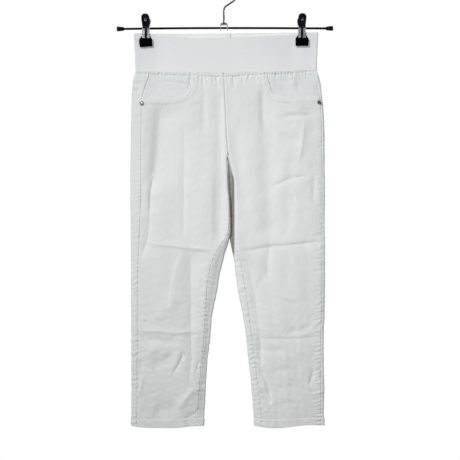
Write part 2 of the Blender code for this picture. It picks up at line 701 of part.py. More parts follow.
def make_rod(collection):
    steps = 12
    span = ROD_ENDS[1] - ROD_ENDS[0]
    places = [ROD_ENDS[0] + span * k / steps for k in range(steps + 1)]
    wire("hanger_rod", [(x, 0.0, rod_z(x)) for x in places], ROD_RADIUS, collection, BLACK_METAL)
    for side, end, way in (("right", ROD_ENDS[0], -1.0), ("left", ROD_ENDS[1], 1.0)):
        make_rod_cap(side, end + way * GAP, way, collection)


def make_rod_cap(side, start, way, collection):
    """A turned cap that widens towards the end of the rod."""
    segments = 14
    long = CAP_LENGTH
    stations = [(0.0, CAP_RADII[0]), (0.2 * long, CAP_RADII[0] + 0.9), (0.5 * long, CAP_RADII[1] - 0.5),
                (0.92 * long, CAP_RADII[1]), (long, CAP_RADII[1] - 1.0)]

    def build(shape):
        rings = []
        for out, radius in stations:
            ring = bmesh.ops.create_circle(shape, segments=segments, radius=radius)["verts"]
            seat = Matrix.Translation((start + way * out, 0.0, rod_z(start)))
            turned = seat @ Matrix.Rotation(math.pi / 2, 4, "Y")
            bmesh.ops.transform(shape, matrix=turned, verts=ring)
            rings.append(ring)
        for first, second in zip(rings, rings[1:]):
            for k in range(segments):
                after = (k + 1) % segments
                shape.faces.new((first[k], first[after], second[after], second[k]))
        shape.faces.new(rings[0])
        shape.faces.new(rings[-1])

    bmesh_object(f"rod_cap_{side}", build, collection, BLACK_PLASTIC)


def hook_route():
    """Centre line of the hook: the stem, a bend to the right, and the round of the hook."""
    drop = HOOK_WIRE
    centre = Vector((0.0, 0.0, drop - HOOK_RADIUS))
    route = [(0.0, 0.0, HOOK_STEM_Z[1]), (0.0, 0.0, -80.0), (0.0, 0.0, -70.0), (0.8, 0.0, -64.5),
             (4.0, 0.0, -60.2), (9.5, 0.0, -56.6), (15.0, 0.0, -53.0)]
    start, end = math.radians(-48.0), math.radians(188.0)
    count = 17
    for k in range(count):
        angle = start + (end - start) * k / (count - 1)
        route.append((centre.x + HOOK_RADIUS * math.cos(angle), 0.0,
                      centre.z + HOOK_RADIUS * math.sin(angle)))
    return route


def make_hook(collection):
    wire("hanger_hook", hook_route(), HOOK_WIRE, collection, BRIGHT_STEEL)


def make_bracket(collection):
    """A saddle over the rod: its two ears reach down past the rod, which goes through them."""
    width, deep, sheet = BRACKET
    top = HOOK_STEM_Z[1] - GAP
    low = ROD_Z - 4.6
    outline = [(-width / 2, top), (width / 2, top), (width / 2, low), (width / 2 - sheet, low),
               (width / 2 - sheet, top - sheet), (-width / 2 + sheet, top - sheet),
               (-width / 2 + sheet, low), (-width / 2, low)]

    def build(shape):
        prism(shape, outline, deep)

    return bmesh_object("hook_bracket", build, collection, BRIGHT_STEEL)


# A clip's arm, grip and pad. Columns: height from the rod, or from the pad's middle, half width,
# and how far its near and its far side are out from the middle.
FRONT_ARM = [(21.0, 6.4, 11.3, 12.4), (12.0, 6.8, 7.0, 8.1), (4.0, 7.7, 3.0, 4.1),
             (0.0, 7.7, 2.4, 3.5), (-6.0, 7.7, 2.5, 3.6), (-12.0, 7.7, 3.2, 4.3),
             (-14.2, 7.7, 4.3, 5.4), (-20.3, 7.7, 4.4, 5.5)]
BACK_ARM = [(up, 6.2, near, far) for up, _, near, far in FRONT_ARM]
GRIP = [(26.2, 2.2, 15.0, 16.7), (25.4, 4.8, 14.9, 16.6), (23.6, 6.8, 14.3, 16.0),
        (21.0, 8.0, 13.0, 14.7), (17.0, 8.3, 11.05, 12.75), (11.0, 7.7, 8.15, 9.85),
        (4.0, 7.1, 4.6, 6.3), (0.0, 7.0, 3.9, 5.6), (-0.6, 2.3, 3.9, 5.4), (-6.0, 2.3, 4.0, 5.0),
        (-12.0, 2.3, 4.7, 5.7), (-14.0, 2.3, 5.8, 6.8), (-20.1, 2.3, 5.9, 6.9)]
PAD = [(13.4, 8.4, 2.5, 3.9), (7.4, 12.6, 2.5, 3.9), (6.6, 13.0, 2.5, 7.2), (-7.2, 13.0, 2.5, 7.2),
       (-8.4, 12.0, 2.5, 6.6)]
GRIP_HOLE = (15.4, 2.7)  # height from the rod, and radius
EAR = (0.9, 6.4, 9.0)    # thickness along the rod, depth and height
EAR_Y = 0.2


def strip(shape, rows, way, x, z, turn=0.0):
    """A flat bar that narrows, widens and bends as its rows say, on the front or the back."""
    rings = []
    spin = Matrix.Rotation(turn, 4, "Y")
    for up, half_width, near, far in rows:
        ring = []
        for across, out in ((-1.0, near), (1.0, near), (1.0, far), (-1.0, far)):
            place = spin @ Vector((across * half_width, way * out, up))
            ring.append(shape.verts.new((x + place.x, place.y, z + place.z)))
        rings.append(ring)
    for first, second in zip(rings, rings[1:]):
        for k in range(4):
            after = (k + 1) % 4
            shape.faces.new((first[k], first[after], second[after], second[k]))
    shape.faces.new(rings[0])
    shape.faces.new(rings[-1])


def box(shape, size, place):
    made = bmesh.ops.create_cube(shape, size=1.0)["verts"]
    bmesh.ops.scale(shape, vec=Vector(size), verts=made)
    bmesh.ops.translate(shape, vec=Vector(place), verts=made)


def hide(item):
    item.hide_render = True
    item.display_type = "WIRE"
    return item


def bar_cutter(name, axis, radius, length, place, collection):
    """A round cutter along the named axis."""

    def build(shape):
        seat = Matrix.Translation(place) @ Matrix.Rotation(math.pi / 2, 4, axis)
        bmesh.ops.create_cone(shape, cap_ends=True, segments=14, radius1=radius, radius2=radius,
                              depth=length, matrix=seat)

    return hide(bmesh_object(name, build, collection, BRIGHT_STEEL))


def make_clip(side, collection, cutters):
    """A sprung clip on the rod: a steel arm, a grip and a rubber jaw before and behind. The front
    arm has two ears that the rod goes through."""
    x, pad_z, tilt = PADS[side]
    z = rod_z(x)
    rod_hole = bar_cutter(f"clip_hole_{side}", "Y", ROD_RADIUS + GAP, 40.0, (x, 0.0, z), cutters)
    grip_hole = bar_cutter(f"grip_hole_{side}", "X", GRIP_HOLE[1], 60.0,
                           (x, 0.0, z + GRIP_HOLE[0]), cutters)
    for face, way, rows in (("front", -1.0, FRONT_ARM), ("back", 1.0, BACK_ARM)):

        def arm(shape):
            strip(shape, rows, way, x, z)

        def grip(shape):
            strip(shape, GRIP, way, x, z)

        def pad(shape):
            strip(shape, PAD, way, x, pad_z, math.radians(tilt))

        made_arm = bmesh_object(f"clip_arm_{face}_{side}", arm, collection, BRIGHT_STEEL)
        made_grip = bmesh_object(f"clip_grip_{face}_{side}", grip, collection, BLACK_PLASTIC)
        bmesh_object(f"clip_pad_{face}_{side}", pad, collection, RUBBER)
        cut_with(made_grip, grip_hole)
        if face == "front":
            for number, across in enumerate((-1.0, 1.0)):
                place = (x + across * (FRONT_ARM[3][1] - EAR[0] / 2), EAR_Y, z)
                ear = bmesh_object(f"clip_ear_{side}_{number}", lambda shape: box(shape, EAR, place),
                                   cutters, BRIGHT_STEEL)
                cut_with(made_arm, hide(ear), "UNION")
            cut_with(made_arm, rod_hole)
        cut_with(made_arm, grip_hole)


def main():
    for item in list(bpy.data.objects):
        bpy.data.objects.remove(item, do_unlink=True)
    collection = bpy.data.collections.new("capri pants on a clip hanger")
    cutters = bpy.data.collections.new("cutters")
    bpy.context.scene.collection.children.link(collection)
    bpy.context.scene.collection.children.link(cutters)
    make_waistband(collection)
    make_panels(collection, cutters)
    for side in LEGS:
        make_pocket_facing(side, collection)
        make_rivet(side, collection)
    make_back_tab(collection)
    make_rod(collection)
    make_hook(collection)
    hole = bar_cutter("rod_hole", "Y", ROD_RADIUS + GAP, 40.0, (0.0, 0.0, ROD_Z), cutters)
    cut_with(make_bracket(collection), hole)
    for side in LEGS:
        make_clip(side, collection, cutters)


main()
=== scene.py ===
"""Looks of white pull-on capri pants on a clip hanger.

Lengths are in millimetres until a mesh is made, which is in metres. +Z is up, the front faces -Y and
+X is the wearer's left. Each piece of cloth is a thin shell on the outer side of its solid, worked out
from the same sections, with the creases, gathers, seams and puckers pressed into it.
"""
import math

import bmesh
import bpy
import numpy as np
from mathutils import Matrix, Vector
from mathutils.bvhtree import BVHTree


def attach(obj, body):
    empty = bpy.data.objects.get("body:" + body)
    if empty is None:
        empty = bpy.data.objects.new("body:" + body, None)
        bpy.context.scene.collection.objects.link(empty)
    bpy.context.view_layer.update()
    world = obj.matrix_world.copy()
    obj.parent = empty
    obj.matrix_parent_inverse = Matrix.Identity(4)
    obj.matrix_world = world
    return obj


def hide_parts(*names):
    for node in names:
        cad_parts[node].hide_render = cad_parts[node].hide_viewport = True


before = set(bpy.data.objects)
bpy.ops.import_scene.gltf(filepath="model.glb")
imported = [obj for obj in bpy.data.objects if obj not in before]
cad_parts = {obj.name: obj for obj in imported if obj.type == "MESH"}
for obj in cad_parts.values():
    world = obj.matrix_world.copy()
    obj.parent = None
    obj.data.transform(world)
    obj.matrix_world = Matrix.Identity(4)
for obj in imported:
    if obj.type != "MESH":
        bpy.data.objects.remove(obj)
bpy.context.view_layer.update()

MM = 0.001
BODY = "root"

# ---------------------------------------------------------------- sizes, most of them the solids' own
CLOTH = 1.2              # wall of the solid that a panel stands for
SHELL = 0.8              # thickness of the cloth itself
BAND_SHELL = 1.5
GAP = 0.3                # between neighbouring solids
SEWN = 0.06              # what is left open along a sewn seam
HEM_DEPTH = 15.0
HEM_STEP = 1.1           # how far the doubled hem stands proud
HEM_STITCH_DROP = 4.2    # how far below the hem's upper edge its stitches run
CROTCH_Z = -357.0
CROTCH_DROP = 14.0       # height over which the crotch seam turns under
EDGE_EASE = 25.0         # height below it over which a leg's fold comes to reach its edge
OUTER_ROUND = 70.0       # distance over which the cloth swells from a side fold to full depth
FOLD_POWER = 0.8
PRESSED = 0.44           # share of the depth that cloth keeps at a pressed fold
PRESSED_ROUND = 0.8
BACK_SEAM_SHIFT = -1.05  # how much further to the right the back seam lies
TOP_Z = -194.0 - GAP
HEM_Z = -912.4
HEM_BACK_Z = -913.5

# The clips flatten the band: most at a clip, less with the distance along it and down the hips
CLIP_X = (-158.5, 158.5)
PINCH = 2.2              # half of the band's depth in a clip
PINCH_SPREAD = 60.0
PINCH_SHARE = 1.15       # over 1, so that the band is fully flat for a short way beside a clip
PINCH_END_Z = -262.0
PINCH_HEIGHT = 115.0     # over which the flattening grows to its full share above there
BAND_MIDDLE = 4.0
BAND_END = 170.0         # how far from the middle the band's ends begin, which are a little deeper
BAND_END_LENGTH = 18.0
BAND_END_MORE = 0.9

# The waist seam sags in the middle and rises to the left; the band's top edge rises at the back
WAIST_Z = -193.9
WAIST_SAG = 3.9
SAG_MIDDLE = -10.0
SAG_HALF = 195.0
WAIST_RISE = 3.0
RISE_START = 60.0
RISE_LENGTH = 130.0
BACK_TOP_Z = -115.3
BACK_TOP_RISE = 2.6
BACK_TOP_START = -184.0
BACK_TOP_LENGTH = 376.0


class Table:
    """Rows of values in named columns, the first of which is a height or a place."""

    def __init__(self, names, rows):
        self.names = names.split()
        self.rows = np.array(rows, dtype=float)

    def at(self, name, place):
        """A column's value at some places, eased between its rows with no overshoot."""
        places, values = self.rows[:, 0], self.rows[:, self.names.index(name)]
        if places[0] > places[-1]:
            places, values = places[::-1], values[::-1]
        steps = np.diff(places)
        rises = np.diff(values) / steps
        slopes = np.zeros(len(values))
        slopes[0], slopes[-1] = rises[0], rises[-1]
        for k in range(1, len(values) - 1):
            if rises[k - 1] * rises[k] > 0:
                slopes[k] = 2.0 * rises[k - 1] * rises[k] / (rises[k - 1] + rises[k])
        place = np.clip(place, places[0], places[-1])
        k = np.clip(np.searchsorted(places, place, side="right") - 1, 0, len(steps) - 1)
        t = (place - places[k]) / steps[k]
        return ((2 * t**3 - 3 * t**2 + 1) * values[k] + (t**3 - 2 * t**2 + t) * steps[k] * slopes[k]
                + (3 * t**2 - 2 * t**3) * values[k + 1] + (t**3 - t**2) * steps[k] * slopes[k + 1])


# where the seam up the middle of the front lies
MIDDLE = Table("z x", [
    (-110, 0.5),
    (-200, 0.5),
    (-222, 1.2),
    (-275, 3.5),
    (-304, 4.9),
    (-357, 8.3),
])

# half of the depth, from the middle plane to the front and to the back
DEPTH = Table("z front back", [
    (-110, 8, 5),
    (-145, 8.5, 6),
    (-195, 9.5, 8.5),
    (-260, 13, 14),
    (-357, 14.5, 16.5),
    (-480, 13.5, 14.5),
    (-560, 12.5, 12.5),
    (-730, 11.5, 11.5),
    (-915, 10, 10),
])

# Edges seen from the front, from the left end to the right: the band's upper edge and the hems
BAND_TOP = Table("x z", [
    (192, -113),
    (139, -118.4),
    (88, -122.2),
    (59, -124.1),
    (0, -125.9),
    (-45, -127.1),
    (-79, -125.5),
    (-114, -121.6),
    (-133, -119.8),
    (-150, -115.9),
    (-184, -115.2),
])
HEMS = {
    "left": Table("x z", [(203.6, -911.6), (181, -910.4), (165, -910.7), (132, -913.7), (116, -915.8),
                          (100, -916.2), (84, -915), (62.3, -912.4)]),
    "right": Table("x z", [(-41, -912.4), (-63, -912.9), (-79, -913.7), (-95, -915.4), (-128, -915.8),
                           (-160, -915.4), (-177, -914), (-188.6, -912.4)]),
}

# The halves of the pants. side: the outer fold. edge: a leg's inner fold, and lean: how far it lies
# further out on one face than on the other. round: distance over which the cloth swells from that fold.
# side_seam, inseam: how far round onto the front the two seams lie.
LEG_COLUMNS = "z side edge lean round side_seam inseam"
RIGHT_LEG = Table(LEG_COLUMNS, [
    (-110, -183.8, 0, 0, 2, 30, 0),
    (-194, -180, 0, 0, 2, 30, 0),
    (-203.5, -183, 0, 0, 2, 33, 0),
    (-220, -186.2, 0, 0, 2, 31, 0),
    (-250, -188, 0, 0, 2, 27, 0),
    (-332, -189.7, 0, 0, 2, 28, 0),
    (-357, -189.8, 8.15, -1.05, 2, 28, 0),
    (-371, -189.9, 8.15, -1.05, 4, 28, 0),
    (-385, -189.9, 8.7, -2, 5, 28, 0),
    (-420, -190, 9.4, -3.2, 6, 28, 3),
    (-465, -190.1, 12.4, -4.4, 7, 27, 7),
    (-487, -190, 13.2, -4.6, 8, 26, 10),
    (-519, -189.8, 14.2, -4.2, 10, 24, 14),
    (-534, -189.6, 11, -1.5, 14, 23, 17),
    (-545, -189.4, 8.3, 0, 18, 22, 20),
    (-560, -189.2, 3.2, 0, 25, 21, 24),
    (-585, -189, -3.5, 0, 35, 20, 27),
    (-609, -188.8, -9.2, 0, 45, 19, 27),
    (-648, -188.6, -15.5, 0, 52, 18, 24),
    (-686, -188.6, -23.3, 0, 52, 18, 19),
    (-737, -188.4, -27.6, 0, 52, 17.5, 17),
    (-784, -188.4, -33.2, 0, 52, 17, 16),
    (-841, -188.4, -37.2, 0, 52, 16.5, 16.5),
    (-915, -188.6, -41, 0, 52, 16, 17),
])
LEFT_LEG = Table(LEG_COLUMNS, [
    (-110, 192.1, 0, 0, 2, 11, 0),
    (-191, 189.4, 0, 0, 2, 10, 0),
    (-209, 193.4, 0, 0, 2, 10, 0),
    (-225, 197.6, 0, 0, 2, 10, 0),
    (-249, 199.4, 0, 0, 2, 10, 0),
    (-272, 202.4, 0, 0, 2, 11, 0),
    (-332, 203.6, 0, 0, 2, 11, 0),
    (-357, 203.8, 7.4, 1.05, 2, 11, 0),
    (-371, 204, 7.4, 1.05, 4, 11, 0),
    (-385, 204.2, 7.7, 5.5, 4, 11, 0),
    (-420, 204.6, 8, 15.5, 4, 11, 2),
    (-465, 204.9, 9.1, 17, 4, 11, 5),
    (-487, 205, 9.9, 17, 5, 11, 8),
    (-519, 205.2, 10.6, 14, 6, 11, 12),
    (-534, 205.2, 11.3, 12, 7, 11, 14),
    (-545, 205.3, 13.4, 9, 9, 11, 15),
    (-560, 205.3, 17, 4, 13, 11, 17),
    (-574, 205.4, 19.9, 0, 20, 11, 18),
    (-609, 205.5, 24.4, 0, 38, 11, 20),
    (-648, 205.3, 30.4, 0, 52, 11, 20),
    (-686, 204.4, 38.3, 0, 52, 11, 17),
    (-737, 202.9, 45.8, 0, 52, 11, 16),
    (-784, 202.6, 50.6, 0, 52, 11, 17),
    (-841, 203.2, 56.4, 0, 52, 11, 18),
    (-915, 203.6, 62.3, 0, 52, 11, 20),
])
# each half with its sign along X
LEGS = {"right": (-1, RIGHT_LEG), "left": (1, LEFT_LEG)}

# ---------------------------------------------------------------- creases
# Each is a line of places x, z. Its profile falls away from the line at one width on the left of the
# way it runs and at another on the right: softly with a power of 2, sharply with a power of 1.
# A depth below nought is a trough, above it a ridge. At both ends a crease fades out over a share of
# its length, up to a most.
# Columns: power, width on the left, width on the right, depth, places
FRONT_CREASES = [
    (2, 34, 13, -8.4, [(-125, -246), (-129, -278), (-133, -350), (-138, -394), (-146, -440)]),
    (2, 5, 7, 0.9, [(-156, -272), (-160, -320), (-165, -365)]),
    (1, 9, 2.6, -5.2, [(-143, -405), (-149, -440), (-150, -492)]),
    (1, 5, 2.5, -1.3, [(-160, -400), (-165, -435), (-167, -485)]),
    (1, 5, 8, -3.8, [(-149, -470), (-151, -505), (-155, -536), (-163, -560), (-172, -584)]),
    (1, 9, 14, -3.6, [(-80, -290), (-80, -374), (-81, -485), (-82, -545)]),
    (2, 7, 13, -3, [(-8, -222), (-8, -290), (-7, -350), (-5, -420)]),
    (2, 12, 15, -4.4, [(-4, -380), (-6, -430), (-9, -480), (-9, -560)]),
    (1, 9, 24, 2, [(-25, -400), (-24, -450), (-24, -500), (-22, -555)]),
    (2, 14, 10, -2, [(22, -290), (26, -350), (34, -420), (44, -480)]),
    (2, 7, 7, -1.6, [(-40, -226), (-41, -330)]),
    (1, 2.2, 2.2, -0.8, [(-136, -500), (-120, -537), (-108, -514)]),
    (1, 2.2, 2.6, -0.6, [(-147, -486), (-135, -489), (-129, -501)]),
    (1, 6, 1.9, 2.3, [(-170, -542), (-129, -546), (-99, -549), (-68, -553), (-16, -557)]),
    (1, 5, 1.7, 1, [(-76, -552), (-45, -555), (-16, -557)]),
    (1, 20, 17, -5.4, [(-71, -545), (-68, -580), (-67, -637), (-67, -735)]),
    (2, 13, 4.5, 1.6, [(-76, -552), (-91, -580), (-99, -606), (-107, -657), (-113, -710)]),
    (1, 7, 15, -4, [(-67, -690), (-66, -740), (-66, -785), (-72, -840)]),
    (1, 5, 2.2, 2.8, [(-190, -718), (-129, -721), (-99, -724), (-66, -722), (-30, -719)]),
    (2, 9, 8, -2.4, [(-176, -733), (-129, -740), (-84, -742)]),
    (2, 14, 9, -3.3, [(-98, -765), (-119, -779), (-150, -790)]),
    (2, 8, 9, 1.5, [(-118, -750), (-140, -757), (-162, -770)]),
    (1, 3, 4, -2.4, [(-172, -776), (-160, -790), (-142, -800)]),
    (1, 6, 2.4, -3.6, [(-80, -756), (-90, -784), (-106, -812)]),
    (2, 8, 6, 3.2, [(-48, -850), (-62, -841), (-78, -857), (-96, -884)]),
    (1, 13, 4.5, -3, [(-46, -872), (-60, -888), (-86, -899)]),
    (2, 14, 14, -3.7, [(-90, -869), (-117, -879), (-145, -880)]),
    (1, 3, 3, -1.1, [(-170, -776), (-166, -802)]),
    (1, 3, 3.5, 2.2, [(-160, -806), (-167, -830), (-172, -860)]),
    (2, 19, 17, -4.3, [(82, -222), (85, -273), (88, -334), (90, -394), (93, -455), (96, -548)]),
    (2, 6, 6, -2, [(77, -216), (80, -322)]),
    (2, 13, 13, -2.3, [(140, -355), (130, -435), (131, -540)]),
    (1, 4, 6, -1.7, [(108, -316), (128, -328), (152, -338)]),
    (2, 4, 4, -1, [(135, -442), (150, -474)]),
    (1, 5, 4, 2.3, [(163, -288), (158, -338), (150, -388)]),
    (1, 3, 6, -1.9, [(84, -425), (107, -424), (124, -415), (138, -410), (178, -405)]),
    (2, 4.5, 4.5, -1.6, [(183, -396), (181, -470)]),
    (1, 3, 3, -1.1, [(147, -271), (194, -274)]),
    (2, 5, 5.5, -2.2, [(104, -288), (146, -284), (188, -285)]),
    (1, 1.9, 7, -2.4, [(20, -557), (57, -555), (89, -549), (124, -546), (164, -542), (206, -537)]),
    (1, 1.8, 3, -1, [(124, -546), (164, -542), (206, -537)]),
    (1, 8, 14, -3.7, [(95, -536), (91, -562), (89, -590), (91, -626)]),
    (1, 4, 4, -1, [(64, -640), (74, -620), (86, -606)]),
    (1, 2, 2.6, -1.4, [(176, -528), (190, -526), (206, -524)]),
    (1, 2, 2.6, -1.3, [(174, -575), (190, -574), (206, -572)]),
    (1, 2, 2.6, -1.2, [(180, -586), (192, -586), (206, -585)]),
    (1, 2, 2.6, -1.5, [(175, -599), (190, -598), (206, -596)]),
    (1, 2.2, 9, -2.3, [(62, -734), (113, -735), (154, -734), (206, -730)]),
    (2, 5, 7, -2, [(68, -757), (125, -760)]),
    (1, 11, 5, -3.8, [(64, -784), (78, -806), (88, -832), (96, -866)]),
    (1, 4, 4, -2.8, [(56, -722), (70, -732), (75, -764)]),
    (1, 4, 4, -2.6, [(58, -752), (71, -761), (77, -792)]),
    (2, 6, 5, -3, [(70, -838), (84, -852), (98, -870)]),
    (1, 3, 3, 2.2, [(174, -850), (206, -841)]),
    (2, 4, 4, -1.8, [(184, -790), (172, -838)]),
    (2, 7, 8, -2, [(180, -700), (160, -718), (118, -722)]),
    (2, 3, 7, -1.6, [(-2, -545), (-14, -609), (-21, -648), (-28, -686), (-33, -737), (-38, -784),
                       (-42, -841), (-46, -915), (-47, -935)]),
    (1, 11, 8, -3.4, [(44, -560), (54, -609), (62, -650), (69, -700), (76, -750), (74, -800)]),
    (2, 5, 5, -1.2, [(34, -572), (44, -590), (52, -596)]),
    (2, 5, 7, -1, [(100, -872), (126, -866), (150, -869)]),
    (2, 7, 6, -1, [(96, -802), (128, -798), (156, -808)]),
    (2, 5, 7, -0.9, [(112, -834), (140, -832), (168, -838)]),
    (2, 5, 7, -0.8, [(104, -664), (130, -661), (160, -665)]),
    (2, 5, 19, 1.6, [(193, -215), (199, -300), (200, -450), (199, -650), (198, -905)]),
    (2, 13, 16, 1.9, [(-94, -640), (-112, -668), (-140, -700)]),
    (1, 3, 2.2, -2.4, [(-48, -776), (-54, -796), (-57, -812)]),
    (1, 3.5, 4.5, -1.5, [(-194, -217), (-178, -218), (-163, -220)]),
    (1, 3.5, 4.5, -1.7, [(-196, -234), (-180, -233), (-164, -230)]),
    (1, 3, 3, -1, [(-196, -247), (-180, -245), (-168, -248)]),
]
BACK_CREASES = [
    (2, 17, 17, -4, [(-118, -290), (-95, -352), (-55, -430)]),
    (2, 17, 17, -3.8, [(118, -300), (96, -362), (60, -440)]),
    (2, 18, 18, -3.8, [(-122, -585), (-118, -700), (-112, -868)]),
    (2, 18, 18, -4, [(128, -575), (131, -700), (133, -858)]),
    (1, 6, 2, 1.6, [(-172, -540), (-100, -547), (-30, -560)]),
    (1, 2, 6, -1.7, [(36, -560), (110, -548), (188, -543)]),
    (1, 5, 2, 1.2, [(-172, -724), (-110, -729), (-45, -732)]),
    (1, 2, 5, -1.3, [(62, -736), (120, -733), (186, -726)]),
    (1, 4, 6, -1.8, [(-22, -354), (-62, -345), (-104, -327)]),
    (1, 6, 4, -1.8, [(26, -354), (66, -343), (106, -322)]),
    (1, 4, 6, -1.4, [(-18, -373), (-92, -364)]),
    (1, 6, 4, -1.5, [(28, -375), (100, -361)]),
    (1, 3, 3, -1.4, [(-60, -770), (-84, -800), (-101, -828)]),
    (1, 3, 3, -1.4, [(78, -782), (96, -806), (106, -838)]),
]
CREASES = {"front": FRONT_CREASES, "back": BACK_CREASES}

FADE_SHARE = 0.3
FADE_MOST = 45.0

# Creases of the cloth inside the pocket openings, in the same columns
FACING_CREASES = {
    "right": [
        (1, 2.4, 2.4, -1.7, [(-140, -211), (-109, -214), (-87, -218), (-60, -223)]),
        (1, 2.4, 4, -3.2, [(-67, -199), (-68, -214), (-70, -236)]),
    ],
    "left": [
        (1, 4, 3, 2.4, [(132, -200), (138, -210), (148, -226)]),
        (2, 5, 5, -1, [(143, -216), (150, -228), (158, -244)]),
        (1, 2.2, 2.2, -1.4, [(98, -212), (122, -213), (136, -215)]),
    ],
}

# Gathers that hang from the waist seam on the front: place along it, depth, and length downward
FRONT_GATHERS = [
    (-147, 0.8, 16), (-137, 0.7, 14), (-115, 0.7, 13), (-103, 0.6, 12),
    (-50, 1.3, 28), (-42.5, 2.2, 44), (-34, 1.3, 26), (-22, 1.2, 30),
    (-14, 1.7, 40), (-2, 1.4, 24), (6, 1.2, 22), (19.3, 2.2, 38),
    (25.2, 1.1, 22), (30.7, 1.2, 26), (38.3, 1.4, 30), (50, 1.2, 24),
    (56, 1, 20), (63, 1.4, 30), (91, 0.9, 18), (103.5, 0.8, 16),
    (112, 0.8, 15), (134, 0.5, 12),
]
BACK_GATHER_STEP = 11.5
BACK_GATHER_ENDS = (-168.0, 178.0)
GATHER_ENDS = (-186.0, 197.0)
GATHER_WIDTH = 2.3
GATHER_SPREAD = 0.03     # share by which a gather grows wider with each millimetre downward
GATHER_LEAN = 0.04
GATHER_SHARE = 1.2
SWELL = 0.9              # how far the cloth swells out below the strip's stitches
SWELL_END = 46.0

# Height of the flat strip under the band, down to the row of stitches that holds it
WAIST_STRIP = Table("x below", [(-185, 2), (-114, 4.9), (-65, 6.1), (-6, 8.5), (63, 4.3),
                                (116, 4), (145, 3), (192, 1.5)])

# Stitches beside the seam up the middle: how far to the left of it, and from where down to where
MIDDLE_STITCHES = 6.0
MIDDLE_STITCHES_TOP = -242.0
MIDDLE_STITCHES_END = -346.0

# Scooped pocket openings, from the waist seam down and round to the side seam, and the row of
# stitches below each: x, z
POCKETS = {
    "right": [(-63.5, -190), (-64.5, -206), (-66.5, -223), (-71.5, -234.5), (-79, -242),
              (-90, -246.6), (-103, -248), (-146, -247.4), (-173, -246)],
    "left": [(82, -190), (89, -208), (92, -220), (96.5, -234), (104, -241.5),
             (116, -245.8), (138, -247.4), (175, -246.6), (200, -245)],
}
POCKET_STITCHES = {
    "right": [(-161, -261.4), (-137, -262.3), (-108, -262.3), (-93.4, -259.2), (-80.4, -253.5),
              (-70.6, -246), (-66.4, -238)],
    "left": [(187, -255.8), (146, -256.4), (117, -259), (103, -255.4), (94.5, -247),
             (90, -236)],
}
FACING_BELOW = 18.0      # how far the facing reaches below the opening
FACING_LAP = 3.0         # and behind the side seam
FACING_SLACK = 0.8       # how far its lower edge falls back
FACING_SHOWN = 0.55      # share by which it comes forward in the opening, most of all near the edge
FACING_WIDTH = {"right": 106.0, "left": 112.0}
RIVET_PLACES = {"right": (-165.4, -259.2), "left": (193.2, -257.2)}


# ---------------------------------------------------------------- sections of the pants
def swell(distance, reach):
    """0 at a fold, rising to 1 at the given distance from it."""
    return (1.0 - (1.0 - np.clip(distance / reach, 0.0, 1.0)) ** 2) ** FOLD_POWER


def pressed(distance, reach):
    """The same at a fold that is pressed nearly sharp."""
    body = PRESSED + (1.0 - PRESSED) * swell(distance, reach)
    return body * np.sqrt(1.0 - np.exp(-np.maximum(distance, 0.0) / PRESSED_ROUND))


def ease(value):
    """0 up to 0, 1 from 1 on, and a soft rise between."""
    value = np.clip(value, 0.0, 1.0)
    return value * value * (3.0 - 2.0 * value)


def bell(distance, reach):
    """1 on a line, falling softly to nothing on both sides of it."""
    return np.exp(-(distance / reach) ** 2)


def bells(distance, rows):
    """Ridges and troughs along a line, added up: the height, place beside the line and reach of each."""
    return sum(height * bell(distance - place, reach) for height, place, reach in rows)


def side_x(side, z):
    return LEGS[side][1].at("side", z)


def tube_depth(x, z, face):
    """Depth of the waistband and hips, from the middle plane to the front or back."""
    out = np.minimum(x - side_x("right", z), side_x("left", z) - x)
    full = DEPTH.at(face, z) * pressed(out, OUTER_ROUND)
    round_end = np.sqrt(1.0 - (1.0 - np.clip(out / (PINCH + BAND_END_MORE), 0.0, 1.0)) ** 2)
    held = ease((z - PINCH_END_Z) / PINCH_HEIGHT)
    grip = sum(bell(x - clip, PINCH_SPREAD) for clip in CLIP_X)
    beside = np.clip((np.abs(x - BAND_MIDDLE) - BAND_END) / BAND_END_LENGTH, 0.0, 1.0)
    flat = (PINCH + BAND_END_MORE * beside) * round_end
    share = held * np.clip(PINCH_SHARE * grip, 0.0, 1.0)
    return full * (1.0 - share) + flat * share


def crotch_opening(z):
    """Share of the depth that the crotch seam still spans at height z: it falls in a quarter round."""
    fallen = min(max((CROTCH_Z - z) / CROTCH_DROP, 0.0), 1.0)
    return math.sqrt(1.0 - fallen ** 2)


